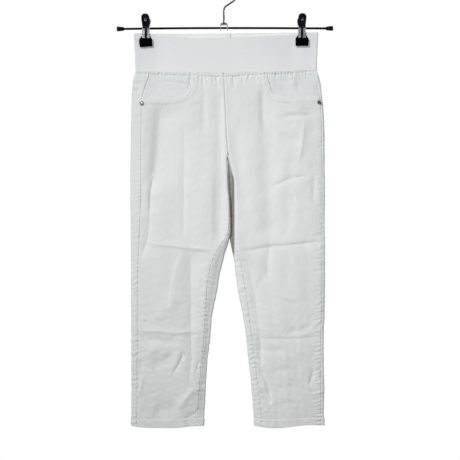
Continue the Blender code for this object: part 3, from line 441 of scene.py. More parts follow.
def section(side, z, samples=260):
    """The half's section at height z: points along the cloth from the outer fold over the front to
    the middle, then from the middle over the back to the outer fold, with their outward normals,
    how far along they lie, and the lengths of the front and of the whole."""
    sign, leg = LEGS[side]
    outer = side_x(side, z)
    turn = 0.5 - 0.5 * np.cos(np.linspace(0.0, math.pi, samples))
    faces, parts = [], []
    for face, way in (("front", -1.0), ("back", 1.0)):
        if z >= CROTCH_Z:
            inner = MIDDLE.at("x", z) + (BACK_SEAM_SHIFT if way > 0.0 else 0.0)
            x = outer + (inner - outer) * turn
            y = way * tube_depth(x, z, face)
        else:
            edge, lean, reach = (leg.at(name, z) for name in ("edge", "lean", "round"))
            inner = edge + sign * 0.5 * abs(lean)
            open_share = crotch_opening(z)
            inward = open_share + (1.0 - open_share) * pressed(abs(inner - outer) * (1.0 - turn), reach)
            share = pressed(abs(inner - outer) * turn, OUTER_ROUND) * inward
            y = way * DEPTH.at(face, z) * share
            x = outer + (inner - way * sign * 0.5 * lean * share - outer) * turn
        faces.append([x, y])
    if z < CROTCH_Z - CROTCH_DROP:
        nearest = min((sign * x).min() for x, _ in faces) * sign
        below = min((CROTCH_Z - CROTCH_DROP - z) / EDGE_EASE, 1.0)
        for face in faces:
            face[0] = face[0] + (edge - nearest) * below * turn
    faces[1] = [line[::-1] for line in faces[1]]
    for x, y in faces:
        tx, ty = np.gradient(x), np.gradient(y)
        length = np.maximum(np.hypot(tx, ty), 1e-9)
        run = np.concatenate([[0.0], np.cumsum(np.hypot(np.diff(x), np.diff(y)))])
        parts.append((run, x, y, -sign * ty / length, sign * tx / length))
    front, back = parts
    runs = np.concatenate([front[0], back[0] + front[0][-1] + 1e-6])
    joined = [np.concatenate([front[k], back[k]]) for k in range(1, 5)]
    return {"run": runs, "x": joined[0], "y": joined[1], "nx": joined[2], "ny": joined[3],
            "front": front[0][-1], "whole": runs[-1]}


def band_bottom(x):
    """Height of the waist seam."""
    middle = 1.0 - ((x - SAG_MIDDLE) / SAG_HALF) ** 2
    return WAIST_Z - WAIST_SAG * middle + WAIST_RISE * ease((x - RISE_START) / RISE_LENGTH)


def band_top(x, face):
    """Height of the band's upper edge."""
    if face == "front":
        return BAND_TOP.at("z", x)
    return BACK_TOP_Z + BACK_TOP_RISE * ease((x - BACK_TOP_START) / BACK_TOP_LENGTH)


def seam_ends(side, cut, z, panel):
    """Where along the half's section a panel starts and ends."""
    leg = LEGS[side][1]
    seam, inseam = leg.at("side_seam", z), leg.at("inseam", z)
    if panel == "front":
        return seam + SEWN / 2, cut["front"] - inseam - SEWN / 2
    return cut["front"] - inseam + SEWN / 2, cut["whole"] + seam - SEWN / 2


# ---------------------------------------------------------------- creases, gathers and puckers
def smooth_line(points, steps=6):
    """A smooth curve through some points."""
    points = np.array([points[0]] + list(points) + [points[-1]], dtype=float)
    line = []
    for k in range(1, len(points) - 2):
        a, b, c, d = points[k - 1:k + 3]
        for t in np.linspace(0.0, 1.0, steps, endpoint=False):
            line.append(0.5 * (2 * b + (c - a) * t + (2 * a - 5 * b + 4 * c - d) * t**2
                               + (3 * b - a - 3 * c + d) * t**3))
    return np.array(line + [points[-2]])


def from_line(x, z, line):
    """Distance from a line, which side of it, and distance along it, for places x, z."""
    near = np.full(x.shape, 1e9)
    side = np.zeros(x.shape)
    along = np.zeros(x.shape)
    passed = 0.0
    for (x0, z0), (x1, z1) in zip(line, line[1:]):
        length = math.hypot(x1 - x0, z1 - z0)
        t = np.clip(((x - x0) * (x1 - x0) + (z - z0) * (z1 - z0)) / length**2, 0.0, 1.0)
        away = np.hypot(x - x0 - t * (x1 - x0), z - z0 - t * (z1 - z0))
        turned = (x1 - x0) * (z - z0) - (z1 - z0) * (x - x0)
        closer = away < near
        near = np.where(closer, away, near)
        side = np.where(closer, np.sign(turned), side)
        along = np.where(closer, passed + t * length, along)
        passed += length
    return near, side, along


def ripple(a, b, seed, size, count=7, upright=1.0):
    """Gentle uneven waves of about the given size over the plane, from -1 to 1."""
    draw = np.random.default_rng(seed)
    total = np.zeros(np.broadcast(a, b).shape)
    for _ in range(count):
        angle = draw.uniform(0.0, math.pi)
        pitch = size * draw.uniform(0.7, 1.5)
        phase = draw.uniform(0.0, 2.0 * math.pi)
        run = a * math.cos(angle) + b * math.sin(angle) / upright
        total += np.sin(2.0 * math.pi * run / pitch + phase)
    return total / count


def pucker(along, away, seed, pitch, reach, height, lean=0.0):
    """Small waves that a row of stitches draws up in uneven groups, dying away from the seam."""
    place = (along + lean * away) / pitch
    wave = np.sin(2.0 * math.pi * (place + 1.1 * ripple(along, 0.3 * away, seed, 5.0 * pitch)))
    group = ease(0.5 + 1.3 * ripple(along, 0.0 * along, seed + 1, 9.0 * pitch))
    group *= 0.4 + 0.6 * ease(0.5 + 1.8 * ripple(along, away, seed + 2, 2.6 * pitch))
    return height * wave * (0.28 + 0.72 * group) * bell(away, reach)


def creases(rows, x, z):
    """Height at x, z of the creases of a table."""
    total = np.zeros(x.shape)
    for power, left, right, depth, places in rows:
        line = smooth_line(places)
        length = float(np.hypot(*np.diff(line, axis=0).T).sum())
        away, side, along = from_line(x, z, line)
        fade = min(FADE_SHARE * length, FADE_MOST)
        share = ease(along / fade) * ease((length - along) / fade)
        total += depth * share * np.exp(-(away / np.where(side >= 0.0, left, right)) ** power)
    return total


def back_gathers():
    """Gathers across the back, as uneven as those of the front."""
    draw = np.random.default_rng(7)
    x, last = BACK_GATHER_ENDS
    rows = []
    while x < last:
        rows.append((x, draw.uniform(0.7, 2.0), draw.uniform(18.0, 42.0)))
        x += BACK_GATHER_STEP * draw.uniform(0.6, 1.4)
    return rows


GATHERS = {"front": FRONT_GATHERS, "back": back_gathers()}


def gathers(x, below, face):
    """Troughs that hang from the row of stitches under the band, and the swell of cloth below it."""
    down = below - WAIST_STRIP.at("below", x)
    total = SWELL * ease(down / 5.0) * ease((SWELL_END - down) / 38.0)
    for place, depth, length in GATHERS[face]:
        width = GATHER_WIDTH * (1.0 + GATHER_SPREAD * np.clip(down, 0.0, 50.0))
        fade = ease((length - down) / length) * ease((down + 1.5) / 4.0)
        total -= GATHER_SHARE * depth * bell(x - place - GATHER_LEAN * down, width) * fade
    return total


def waist_strip(x, below):
    """The flat strip between the seam and its stitches, and the groove that they press."""
    from_stitches = below - WAIST_STRIP.at("below", x)
    flutes = pucker(x, from_stitches - 2.0, seed=3, pitch=6.5, reach=6.5, height=1.2)
    flutes += pucker(x, below - 2.0, seed=4, pitch=6.0, reach=9.0, height=0.85)
    return 0.35 * ease(-from_stitches / 1.5) - 1.1 * bell(from_stitches, 1.3) + flutes


SEEDS = {"left": 11, "right": 51}
# grooves and rims beside a line: height, how far up or inward from the line, and reach
HEM_LINES = [(-0.6, -HEM_STITCH_DROP, 1.0), (-0.3, 1.0, 1.5)]
BAND_TOP_LINES = [(-0.6, 0.0, 1.2), (-0.2, 5.0, 1.0)]
BAND_BOTTOM_LINES = [(-0.25, 0.0, 1.2)]
POCKET_RIM = 13.0        # how far the raised rim of a pocket opening reaches from its edge
# how far the puckers of a panel's first and last seam spread, and how high they are
SEAM_PUCKERS = {
    ("right", "front"): ((4.0, 0.5), (6.0, 0.8)),
    ("right", "back"): ((13.0, 1.3), (14.0, 1.2)),
    ("left", "front"): ((11.0, 1.1), (6.0, 0.8)),
    ("left", "back"): ((13.0, 1.3), (6.0, 0.7)),
}
PUCKERS_TOP = -252.0     # below the pockets; they are at their full height further down
PUCKERS_FULL = -380.0
CRUMPLE_TOP = -540.0     # the cloth beside the seams is crumpled from the knee downward
# waves of a worn leg, and more of them below the knee: height, number added to the seed, size, how many
# are laid over one another, and how much they are stretched upright
LEG_WAVES = [(0.8, 0, 48.0, 7, 2.4), (0.34, 5, 17.0, 9, 1.0), (0.55, 7, 29.0, 9, 1.0), (0.1, 8, 9.5, 9, 1.0)]
LOW_WAVES = [(0.75, 6, 17.0, 11, 0.7)]
LOW_WAVES_TOP = -560.0


def waves(x, z, seed, rows):
    """Ripples of several sizes over one another."""
    return sum(height * ripple(x, z, seed + more, size, count, upright)
               for height, more, size, count, upright in rows)


def cloth_waves(x, z, seed):
    """The slow unevenness of a worn leg, busier towards the hem."""
    low = ease((LOW_WAVES_TOP - z) / 170.0)
    return waves(x, z, seed, LEG_WAVES) + low * waves(x, z, seed, LOW_WAVES)


def off_folds(y, z, face):
    """0 at the pressed side folds and 1 on the open face, where creases show."""
    depth = np.maximum(DEPTH.at(face, z), 1.0)
    return ease((np.abs(y) / depth - 0.12) / 0.3)


def hem_relief(x, z, seed):
    """The doubled hem, the groove that its stitches press, and its puckers."""
    up = z - (HEM_Z + HEM_DEPTH)
    drawn = pucker(x, up + 7.0, seed=seed + 2, pitch=8.5, reach=8.0, height=0.45, lean=0.6)
    return HEM_STEP * ease(-up / 2.0) + bells(up, HEM_LINES) + drawn


def seam_relief(side, panel, number, x, z, away):
    """How cloth rolls in, stands up and puckers beside a panel's first seam, 0, or its last, 1. Only
    the middle seam, above the crotch, is rolled in deeper and has neither groove nor puckers."""
    seed = SEEDS[side]
    inner = (number == 1) == (panel == "front")
    middle = ease((z - CROTCH_Z) / 10.0) if inner else 0.0
    rolled = -(0.8 + 0.6 * middle) * bell(away, 1.1 + 0.1 * middle)
    raised = 0.35 * bell(away - 4.0, 3.0) * (0.6 + middle)
    groove = -0.45 * bell(away - 3.6, 0.9) * (1.0 - middle)
    reach, height = SEAM_PUCKERS[(side, panel)][number]
    drawn = (1.0 - middle) * ease((PUCKERS_TOP - z) / 12.0) * (0.45 + 0.55 * ease((PUCKERS_FULL - z) / 100.0))
    small = pucker(z, away, seed=seed + 3 + inner, pitch=8.6, reach=reach, height=height, lean=0.25)
    crumple = ripple(x, z, seed + 9, 11.0, count=9, upright=0.7)
    crumple *= bell(away, 16.0) * ease((CRUMPLE_TOP - z) / 120.0)
    return rolled + raised + groove + (small + crumple) * drawn


def panel_relief(side, panel, x, y, z, from_start, from_end, below):
    """How far a leg panel's cloth stands out from its section, from its seams, folds and gathers."""
    total = np.zeros(x.shape)
    for face, part in (("front", y < 0.0), ("back", y >= 0.0)):
        push = creases(CREASES[face], x, z) * off_folds(y, z, face)
        push += gathers(x, below, face) * ease(np.minimum(x - GATHER_ENDS[0], GATHER_ENDS[1] - x) / 10.0)
        total = np.where(part, push + waist_strip(x, below), total)
    total += cloth_waves(x, z, SEEDS[side]) + hem_relief(x, z, SEEDS[side])
    for number, away in enumerate((from_start, from_end)):
        total += seam_relief(side, panel, number, x, z, away)
    return total


def pocket_relief(side, x, z):
    """The turned edge of a pocket opening on a front panel, and the rows of stitches beside it."""
    edge, _, _ = from_line(x, z, smooth_line(POCKETS[side]))
    away, _, along = from_line(x, z, smooth_line(POCKET_STITCHES[side]))
    total = 0.7 * ease((POCKET_RIM - edge) / 2.0) - 0.5 * bell(edge, 0.8) - 0.6 * bell(away, 0.9)
    total += pucker(along, away, seed=21, pitch=7.0, reach=6.0, height=0.4)
    if side == "left":
        away = x - MIDDLE.at("x", z) - MIDDLE_STITCHES
        ends = ease((MIDDLE_STITCHES_TOP + 4.0 - z) / 6.0) * ease((z - MIDDLE_STITCHES_END + 2.0) / 6.0)
        drawn = pucker(z, away, seed=22, pitch=7.5, reach=5.0, height=0.1)
        total += (drawn - 0.5 * bell(away, 1.1)) * ends
    return total


# ---------------------------------------------------------------- meshes
def spaced(start, end, step):
    """Places from a start to an end, about a step apart."""
    count = max(int(round(abs(end - start) / step)), 1)
    return list(np.linspace(start, end, count + 1))


def panel_heights(step):
    """Heights of a panel's rows, finest under the waist, round the crotch and at the hem."""
    gathered, hem = TOP_Z - 52.0, HEM_Z + 26.0
    crotch = [CROTCH_Z - CROTCH_DROP * math.sin(math.radians(a)) for a in range(10, 91, 10)]
    heights = spaced(TOP_Z, gathered, 1.25) + spaced(gathered, CROTCH_Z, step)[1:] + crotch
    return heights + spaced(crotch[-1], hem, step)[1:] + spaced(hem, HEM_Z, 1.3)[1:]


# distances of a panel's columns from its seams, and from the outer fold
NEAR_FOLD = (-3.0, -1.8, -1.0, -0.5, 0.0, 0.5, 1.0, 1.8, 3.0)
NEAR_SEAM = (0.0, 0.5, 1.0, 1.6, 2.3, 3.2, 4.3, 5.6, 7.1, 8.8, 10.6, 12.6)


def grid_faces(rows, columns, flip, wrap=False):
    """Faces between rows of points, which close into rings if they wrap."""
    faces = []
    for row in range(rows - 1):
        for k in range(columns if wrap else columns - 1):
            after = (k + 1) % columns
            face = (row * columns + k, row * columns + after, (row + 1) * columns + after,
                    (row + 1) * columns + k)
            faces.append(face[::-1] if flip else face)
    return faces


def body_faces(rings, sides, flip):
    """Faces of a closed body made of rings of points."""
    ends = [tuple(range(sides))[::-1], tuple(range((rings - 1) * sides, rings * sides))]
    return grid_faces(rings, sides, flip, wrap=True) + [end[::-1] if flip else end for end in ends]


def panel_cloth(side, panel, heights, broad, relief, lap=None, width=None):
    """Points of a stretch of cloth between two seams, as rows from the waist down. It has a broad number
    of columns on the open face. A lap starts it behind the first seam; a width ends it short of the last."""
    found = {key: [] for key in ("x", "y", "nx", "ny", "z", "start", "end")}
    for z in heights:
        cut = section(side, z)
        start, end = seam_ends(side, cut, z, panel)
        if width:
            end = start + width
        if lap:
            start -= lap
        near = [start + step for step in NEAR_SEAM]
        if panel == "back":
            fold = [cut["whole"] + step for step in NEAR_FOLD]
            seam = [end - step for step in reversed(NEAR_SEAM[:7])]
            far = fold + list(np.linspace(fold[-1], seam[0], 8)[1:-1]) + seam
        else:
            far = [end - step for step in reversed(NEAR_SEAM)]
        runs = np.array(near + list(np.linspace(near[-1], far[0], broad + 1)[1:-1]) + far)
        for key in ("x", "y", "nx", "ny"):
            found[key].append(np.interp(runs % cut["whole"], cut["run"], cut[key]))
        found["z"].append(np.full(len(runs), z))
        found["start"].append(runs - start)
        found["end"].append(end - runs)
    grid = {key: np.array(value) for key, value in found.items()}
    x, y, z = grid["x"], grid["y"], grid["z"]
    front = y < 0.0
    depth = np.where(front, DEPTH.at("front", z), DEPTH.at("back", z))
    flat = ease((np.abs(y) / np.maximum(depth, 1.0) - 0.35) / 0.4)
    below = TOP_Z - z
    top_share = np.clip(1.0 - below / 45.0, 0.0, 1.0)
    hem_share = np.clip(1.0 - (z - HEM_Z) / (2.0 * HEM_DEPTH), 0.0, 1.0)
    bottom = np.where(front, HEMS[side].at("z", x), HEM_BACK_Z - 1.1 * flat)
    placed = z + top_share * (band_bottom(x) - SEWN - TOP_Z) + hem_share * (bottom - HEM_Z)
    push = relief(x, y, z, grid["start"], grid["end"], below)
    return np.stack([x + grid["nx"] * push, y + grid["ny"] * push, placed], axis=-1)


def cut_open(points, faces, keep):
    """Cuts a surface along the line where keep is nought, and drops the side where it is below."""
    points = [np.array(point) for point in points]
    keep = np.where(np.abs(keep) < 0.2, 0.0, keep)
    made, kept = {}, []
    for face in faces:
        inside = [keep[k] >= 0.0 for k in face]
        if all(inside):
            kept.append(face)
            continue
        if not any(keep[k] > 0.0 for k in face):
            continue
        ring = []
        for a, b in zip(face, face[1:] + face[:1]):
            if keep[a] >= 0.0:
                ring.append(a)
            if keep[a] * keep[b] < 0.0:
                low, high = min(a, b), max(a, b)
                if (low, high) not in made:
                    share = keep[low] / (keep[low] - keep[high])
                    made[(low, high)] = len(points)
                    points.append(points[low] + (points[high] - points[low]) * share)
                ring.append(made[(low, high)])
        if len(ring) > 2:
            kept.append(tuple(ring))
    used = sorted({k for face in kept for k in face})
    place = {old: new for new, old in enumerate(used)}
    return [points[k] for k in used], [tuple(place[k] for k in face) for face in kept]


SURFACES = {}


def place_object(name, data):
    """A new object in the scene."""
    made = bpy.data.objects.new(name, data)
    bpy.context.scene.collection.objects.link(made)
    return made


def mesh_piece(name, points, faces, finish, shell=None):
    """A piece from points in millimetres. A shell is cloth of that thickness, inward of its points."""
    mesh = bpy.data.meshes.new(name)
    mesh.from_pydata([tuple(MM * np.asarray(point)) for point in points], [], faces)
    mesh.update()
    mesh.shade_smooth()
    mesh.materials.append(finish)
    piece = place_object(name, mesh)
    if shell:
        SURFACES[name] = BVHTree.FromPolygons([tuple(point) for point in points], faces)
        wall = piece.modifiers.new("thickness", "SOLIDIFY")
        wall.thickness = shell * MM
        wall.offset = -1.0
    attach(piece, BODY)
    return piece


# height of a panel's rows, and number of its columns on the open face
PANEL_MESH = {"front": (2.1, 94), "back": (2.2, 76)}
PANEL_FINISH = {"front": "twill", "back": "back_twill"}


def make_panel(side, panel):
    """A leg panel; a front one is cut out along its pocket opening."""
    def relief(x, y, z, from_start, from_end, below):
        push = panel_relief(side, panel, x, y, z, from_start, from_end, below)
        return push + (pocket_relief(side, x, z) if panel == "front" else 0.0)

    step, broad = PANEL_MESH[panel]
    cloth = panel_cloth(side, panel, panel_heights(step), broad, relief)
    rows, columns, _ = cloth.shape
    faces = grid_faces(rows, columns, flip=side == "right")
    points = cloth.reshape(-1, 3)
    if panel == "front":
        edge, which, _ = from_line(points[:, 0], points[:, 2], smooth_line(POCKETS[side]))
        points, faces = cut_open(points, faces, -edge * which * LEGS[side][0])
    piece = mesh_piece(f"{panel}_{side}_cloth", points, faces, MATERIALS[PANEL_FINISH[panel]], SHELL)
    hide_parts(f"{panel}_{side}")


def make_pocket_facing(side):
    """The cloth inside a pocket opening: a patch of the front, set back behind its wall."""
    low = min(z for _, z in POCKETS[side]) - FACING_BELOW
    inset = CLOTH + GAP

    def relief(x, y, z, from_start, from_end, below):
        push = gathers(x, below, "front") + waist_strip(x, below) + cloth_waves(x, z, SEEDS[side])
        push += creases(FACING_CREASES[side], x, z)
        push += creases(CREASES["front"], x, z) * off_folds(y, z, "front")
        edge, _, _ = from_line(x, z, smooth_line(POCKETS[side]))
        shown = FACING_SHOWN * (1.0 - 0.6 * ease((edge - 8.0) / 8.0)) * ease((from_start - FACING_LAP) / 2.0)
        back = inset * (1.0 - shown) * ease(below / 9.0)
        return push - back - FACING_SLACK * ease((low + 8.0 - z) / 8.0)

    cloth = panel_cloth(side, "front", spaced(TOP_Z, low, 1.6), 64, relief, FACING_LAP, FACING_WIDTH[side])
    rows, columns, _ = cloth.shape
    faces = grid_faces(rows, columns, flip=side == "right")
    # its darker cloth is painted shade of the recess
    piece = mesh_piece(f"pocket_facing_{side}_cloth", cloth.reshape(-1, 3), faces, MATERIALS["facing_painted_shade_twill"],
                       SHELL)
    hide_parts(f"pocket_facing_{side}")


BAND_RING = 300
BAND_STEPS = 60
RIB_PITCH = 5.1
WALE_PITCH = 7.6
LEAN = 2.0               # how far the back's upper edge leans out
LEAN_HEIGHT = 13.0


def band_relief(x, z, from_top, from_bottom, front):
    """The band's ribs and wales, its rolled edges and its slight unevenness."""
    uneven = 0.55 + 0.9 * ripple(x, z, seed=54, size=40.0, upright=0.3)
    total = 0.13 * np.sin(2.0 * math.pi * from_top / RIB_PITCH) * ease(from_top / 6.0) * uneven
    shifted = x + 2.0 * ripple(x, z, seed=55, size=30.0)
    total += 0.07 * np.sin(2.0 * math.pi * shifted / WALE_PITCH) * (1.0 - 0.7 * uneven)
    inward = ease(np.minimum(x - x.min(), x.max() - x) / 40.0)
    total += np.where(front, 0.0, LEAN * inward) * ease((LEAN_HEIGHT - from_top) / LEAN_HEIGHT)
    total += 0.25 * ripple(x, z, seed=51, size=46.0) + 0.1 * ripple(x, z, seed=52, size=15.0)
    total += pucker(x, from_bottom, seed=53, pitch=6.5, reach=4.0, height=0.15)
    return total + bells(from_top, BAND_TOP_LINES) + bells(from_bottom, BAND_BOTTOM_LINES)


def make_waistband():
    """One wide ring of ribbed elastic, with a rolled top edge."""
    turn = np.linspace(0.0, 2.0 * math.pi, BAND_RING, endpoint=False)
    front = np.sin(turn) >= 0.0
    across = 0.5 - 0.5 * np.cos(turn)

    def spread(z):
        left, right = side_x("right", z), side_x("left", z)
        return left + (right - left) * across

    x = spread(-150.0)
    top = np.where(front, band_top(x, "front"), band_top(x, "back"))
    bottom = band_bottom(x)
    rows = []
    for down in np.linspace(0.0, 1.0, BAND_STEPS + 1):
        z = top * (1.0 - down) + bottom * down
        x = spread(z)
        y = np.where(front, -tube_depth(x, z, "front"), tube_depth(x, z, "back"))
        rows.append(np.stack([x, y, z], axis=-1))
    points = np.array(rows)
    along = np.roll(points, -1, axis=1) - np.roll(points, 1, axis=1)
    normal = np.stack([along[..., 1], -along[..., 0]], axis=-1)
    normal /= np.maximum(np.linalg.norm(normal, axis=-1, keepdims=True), 1e-9)
    x, z = points[..., 0], points[..., 2]
    push = band_relief(x, z, top - z, z - bottom, front)
    points[..., :2] += normal * push[..., None]
    faces = grid_faces(BAND_STEPS + 1, BAND_RING, flip=True, wrap=True)
    piece = mesh_piece("waistband_cloth", points.reshape(-1, 3), faces, MATERIALS["rib"],
                       BAND_SHELL)
    # the inner face takes a lighter copy of the elastic: painted light where it lies in shade
    piece.data.materials.append(MATERIALS["rib_inside_painted_light"])
    piece.modifiers["thickness"].material_offset = 1
    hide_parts("waistband")


# ---------------------------------------------------------------- sewing
STITCH_PITCH = 3.1
STITCH_LONG = 2.5
STITCH_THICK = 0.45
STITCH_SIDES = 6
STITCH_LIFT = 0.06
# rings of a stitch: where along its length, and share of its thickness
STITCH_RINGS = [(-0.5, 0.25), (-0.36, 0.85), (0.0, 1.0), (0.36, 0.85), (0.5, 0.25)]
HEM_ENDS = {"right": (-180.0, -50.0), "left": (71.0, 195.0)}
STRIP_ENDS = (-172.0, 184.0)
# the ends of each bartack: x0, z0, x1, z1
BARTACKS = [(-67.5, -221.0, -67.0, -229.0), (73.0, -222.2, 88.0, -222.0)]
BARTACK_PITCH = 0.9


def on_cloth(x, z, face="front", names=None):
    """Point and outward normal where the cloth lies at x, z, seen from the front or the back."""
    way = -1.0 if face == "front" else 1.0
    origin = Vector((x, way * 100.0, z))
    best = None
    for name, tree in SURFACES.items():
        if names and name not in names:
            continue
        point, normal, _, distance = tree.ray_cast(origin, Vector((0.0, -way, 0.0)))
        if point is not None and (best is None or distance < best[2]):
            best = (point, normal if normal.y * way > 0.0 else -normal, distance)
    return (best[0], best[1]) if best else None


def stitch_points():
    """Points of one stitch along X, with round ends."""
    points = []
    for along, share in STITCH_RINGS:
        radius = 0.5 * STITCH_THICK * share
        for k in range(STITCH_SIDES):
            angle = 2.0 * math.pi * k / STITCH_SIDES
            points.append((along * STITCH_LONG, radius * math.cos(angle), radius * math.sin(angle)))
    return points


def sew(name, lines):
    """One piece of all the stitches along some lines, each a face and a list of x, z."""
    shape, shape_faces = stitch_points(), body_faces(len(STITCH_RINGS), STITCH_SIDES, flip=False)
    points, faces = [], []
    for face, line in lines:
        line = np.array(line, dtype=float)
        passed = np.concatenate([[0.0], np.cumsum(np.hypot(*np.diff(line, axis=0).T))])
        count = max(int(passed[-1] / STITCH_PITCH), 1)
        for k in range(count):
            middle = (k + 0.5) * passed[-1] / count
            ends = [on_cloth(*(np.interp(place, passed, axis) for axis in line.T), face)
                    for place in (middle - 0.4, middle + 0.4)]
            if None in ends:
                continue
            (a, normal), (b, _) = ends
            along = (b - a).normalized()
            across = normal.cross(along).normalized()
            out = along.cross(across)
            first = len(points)
            for u, v, w in shape:
                points.append((a + b) * 0.5 + along * u + across * v + out * (w + STITCH_LIFT))
            faces += [tuple(first + index for index in one) for one in shape_faces]
    mesh_piece(name, points, faces, MATERIALS["thread"])


def hem_line(side, face):
    """The row of stitches that holds a hem, on one face."""
    line = []
    for x in spaced(*HEM_ENDS[side], 4.0):
        edge = HEMS[side].at("z", x) if face == "front" else HEM_BACK_Z
        line.append((x, 0.5 * (edge + HEM_Z) + HEM_DEPTH - HEM_STITCH_DROP))
    return line


def make_topstitching():
    """The rows of stitches at the pockets and hems, beside the middle seam and under the band."""
    lines = []
    for side in LEGS:
        lines.append(("front", smooth_line(POCKET_STITCHES[side])))
        lines += [(face, hem_line(side, face)) for face in ("front", "back")]
    heights = spaced(MIDDLE_STITCHES_TOP, MIDDLE_STITCHES_END, 4.0)
    lines.append(("front", [(MIDDLE.at("x", z) + MIDDLE_STITCHES, z) for z in heights]))
    strip = [(x, band_bottom(x) - GAP - WAIST_STRIP.at("below", x)) for x in spaced(*STRIP_ENDS, 6.0)]
    sew("topstitching", lines + [(face, strip) for face in ("front", "back")])


def make_bartacks():
    """Short rows of close stitches at the inner ends of the pocket openings."""
    bars = []
    for x0, z0, x1, z1 in BARTACKS:
        length = math.hypot(x1 - x0, z1 - z0)
        across = (-(z1 - z0) / length, (x1 - x0) / length)
        count = int(length / BARTACK_PITCH)
        for k in range(count):
            share = (k + 0.5) / count
            x, z = x0 + (x1 - x0) * share, z0 + (z1 - z0) * share
            bars.append(("front", [(x - across[0], z - across[1]), (x + across[0], z + across[1])]))
    sew("bartacks", bars)


# ---------------------------------------------------------------- rivets, tab and hanger
TURNED_SIDES = 32
# turned profiles: radius and height of each ring
RIVET_PROFILE = [(0.8, 0.75), (1.7, 0.8), (2.2, 0.62), (2.5, 0.55), (2.8, 0.85), (3.3, 1.35),
                 (3.8, 1.5), (4.2, 1.25), (4.35, 0.75), (4.3, 0.0), (4.1, -1.6)]
RIVET_LIFT = 0.7
# how far each rivet's face is turned from its cloth's, to +X and up
RIVET_TILTS = {"right": (0.38, 0.2), "left": (-0.28, -0.04)}

ROD_Z = -104.6
ROD_RADIUS = 2.2
ROD_ENDS = (-202.3, 206.7)
ROD_BOW = (1.9, 0.7)     # how far its right and left ends hang below its middle
CAP_PROFILE = [(2.5, 0.0), (3.0, 0.4), (3.9, 3.0), (4.4, 7.5), (4.9, 13.5), (4.6, 14.55), (3.9, 15.0)]
HOOK_WIRE = 1.75
HOOK_RADIUS = 29.5
HOOK_ARC = (-48.0, 188.0)   # from the stem's bend round to the open end, degrees
HOOK_STEM = [(0.0, -96.2), (0.0, -80.0), (0.0, -70.0), (0.8, -64.5), (4.0, -60.2), (9.5, -56.6),
             (15.0, -53.0)]
# a domed washer under the foot of the hook
WASHER_PLACE = (0.0, 0.0, -97.4)
WASHER_PROFILE = [(1.2, 3.6), (2.6, 3.4), (4.6, 2.6), (6.4, 1.7), (7.3, 0.9), (7.3, 0.2), (6.9, 0.0)]
# solids that stay, by how their names start, and their finish
CARRIED = {"hook_bracket": "steel", "clip_arm": "steel", "clip_grip": "black_plastic", "clip_pad": "rubber",
           "back_tab": "tape"}
EDGE_ROUND = 0.35
EDGE_ANGLE = 35.0


def turned(name, profile, place, direction, finish, slot, node=None):
    """A turned piece: profile is (radius, height) from its middle outward, along a direction."""
    spin = direction.to_track_quat("Z", "Y").to_matrix()
    points = []
    for radius, height in profile:
        for k in range(TURNED_SIDES):
            angle = 2.0 * math.pi * k / TURNED_SIDES
            points.append(spin @ Vector((radius * math.cos(angle), radius * math.sin(angle), height)) + place)
    piece = mesh_piece(name, points, body_faces(len(profile), TURNED_SIDES, flip=True), finish)
    if node:
        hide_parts(node)


def make_rivet(side):
    """A rivet at the side end of a pocket opening, on the front panel or, past its seam, on the back's."""
    x, z = RIVET_PLACES[side]
    point, normal = on_cloth(x, z, names=(f"front_{side}_cloth",)) or on_cloth(x, z)
    across, up = RIVET_TILTS[side]
    turned(f"rivet_{side}_metal", RIVET_PROFILE, point + normal * RIVET_LIFT,
           (normal + Vector((across, 0.0, up))).normalized(),
           MATERIALS["rivet"], "rivet_metal", f"rivet_{side}")


def rod_z(x):
    """Height of the rod's centre line."""
    return ROD_Z - (ROD_BOW[0] if x < 0.0 else ROD_BOW[1]) * (x / ROD_ENDS[1]) ** 2


def wire_piece(name, route, radius, finish, node):
    """A round wire along a route."""
    curve = bpy.data.curves.new(name, "CURVE")
    curve.dimensions = "3D"
    curve.bevel_depth = radius * MM
    curve.bevel_resolution = 6
    curve.use_fill_caps = True
    line = curve.splines.new("POLY")
    line.points.add(len(route) - 1)
    for point, place in zip(line.points, route):
        point.co = (*[MM * value for value in place], 1.0)
    line.use_smooth = True
    curve.materials.append(finish)
    piece = place_object(name, curve)
    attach(piece, BODY)
    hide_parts(node)


def hook_route():
    """Centre line of the hook: the stem, a bend to the right, and the round of the hook."""
    arc = []
    for angle in np.radians(np.linspace(*HOOK_ARC, 60)):
        arc.append((HOOK_RADIUS * math.cos(angle), HOOK_WIRE - HOOK_RADIUS + HOOK_RADIUS * math.sin(angle)))
    bend = smooth_line(HOOK_STEM + [arc[0]], 5)
    return [(x, 0.0, z) for x, z in list(bend[:-1]) + arc]


def make_hanger():
    """The rod with its caps, the hook, the washer under it, and the finish of the solids that stay."""
    rod = [(x, 0.0, rod_z(x)) for x in spaced(*ROD_ENDS, 9.0)]
    wire_piece("hanger_rod_bar", rod, ROD_RADIUS, MATERIALS["black_metal"], "hanger_rod")
    wire_piece("hanger_hook_wire", hook_route(), HOOK_WIRE, MATERIALS["wire"], "hanger_hook")
    for side, end, way in (("right", ROD_ENDS[0], -1.0), ("left", ROD_ENDS[1], 1.0)):
        turned(f"rod_cap_{side}_plastic", CAP_PROFILE, Vector((end + way * GAP, 0.0, rod_z(end))),
               Vector((way, 0.0, 0.0)), MATERIALS["black_plastic"], "grip_plastic", f"rod_cap_{side}")
    turned("bracket_washer", WASHER_PROFILE, Vector(WASHER_PLACE), Vector((0.0, 0.0, 1.0)),
           MATERIALS["wire"], "bright_steel")
    for name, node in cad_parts.items():
        for start, finish in CARRIED.items():
            if name.startswith(start):
                dress(node, MATERIALS[finish])


def dress(node, finish):
    """A better finish and softly rounded edges for a solid that stays."""
    for place in node.material_slots:
        place.material = finish
    if not node.material_slots:
        node.data.materials.append(finish)
    edges = node.modifiers.new("edges", "BEVEL")
    edges.width = EDGE_ROUND * MM
    edges.segments = 2
    edges.limit_method = "ANGLE"
    edges.angle_limit = math.radians(EDGE_ANGLE)


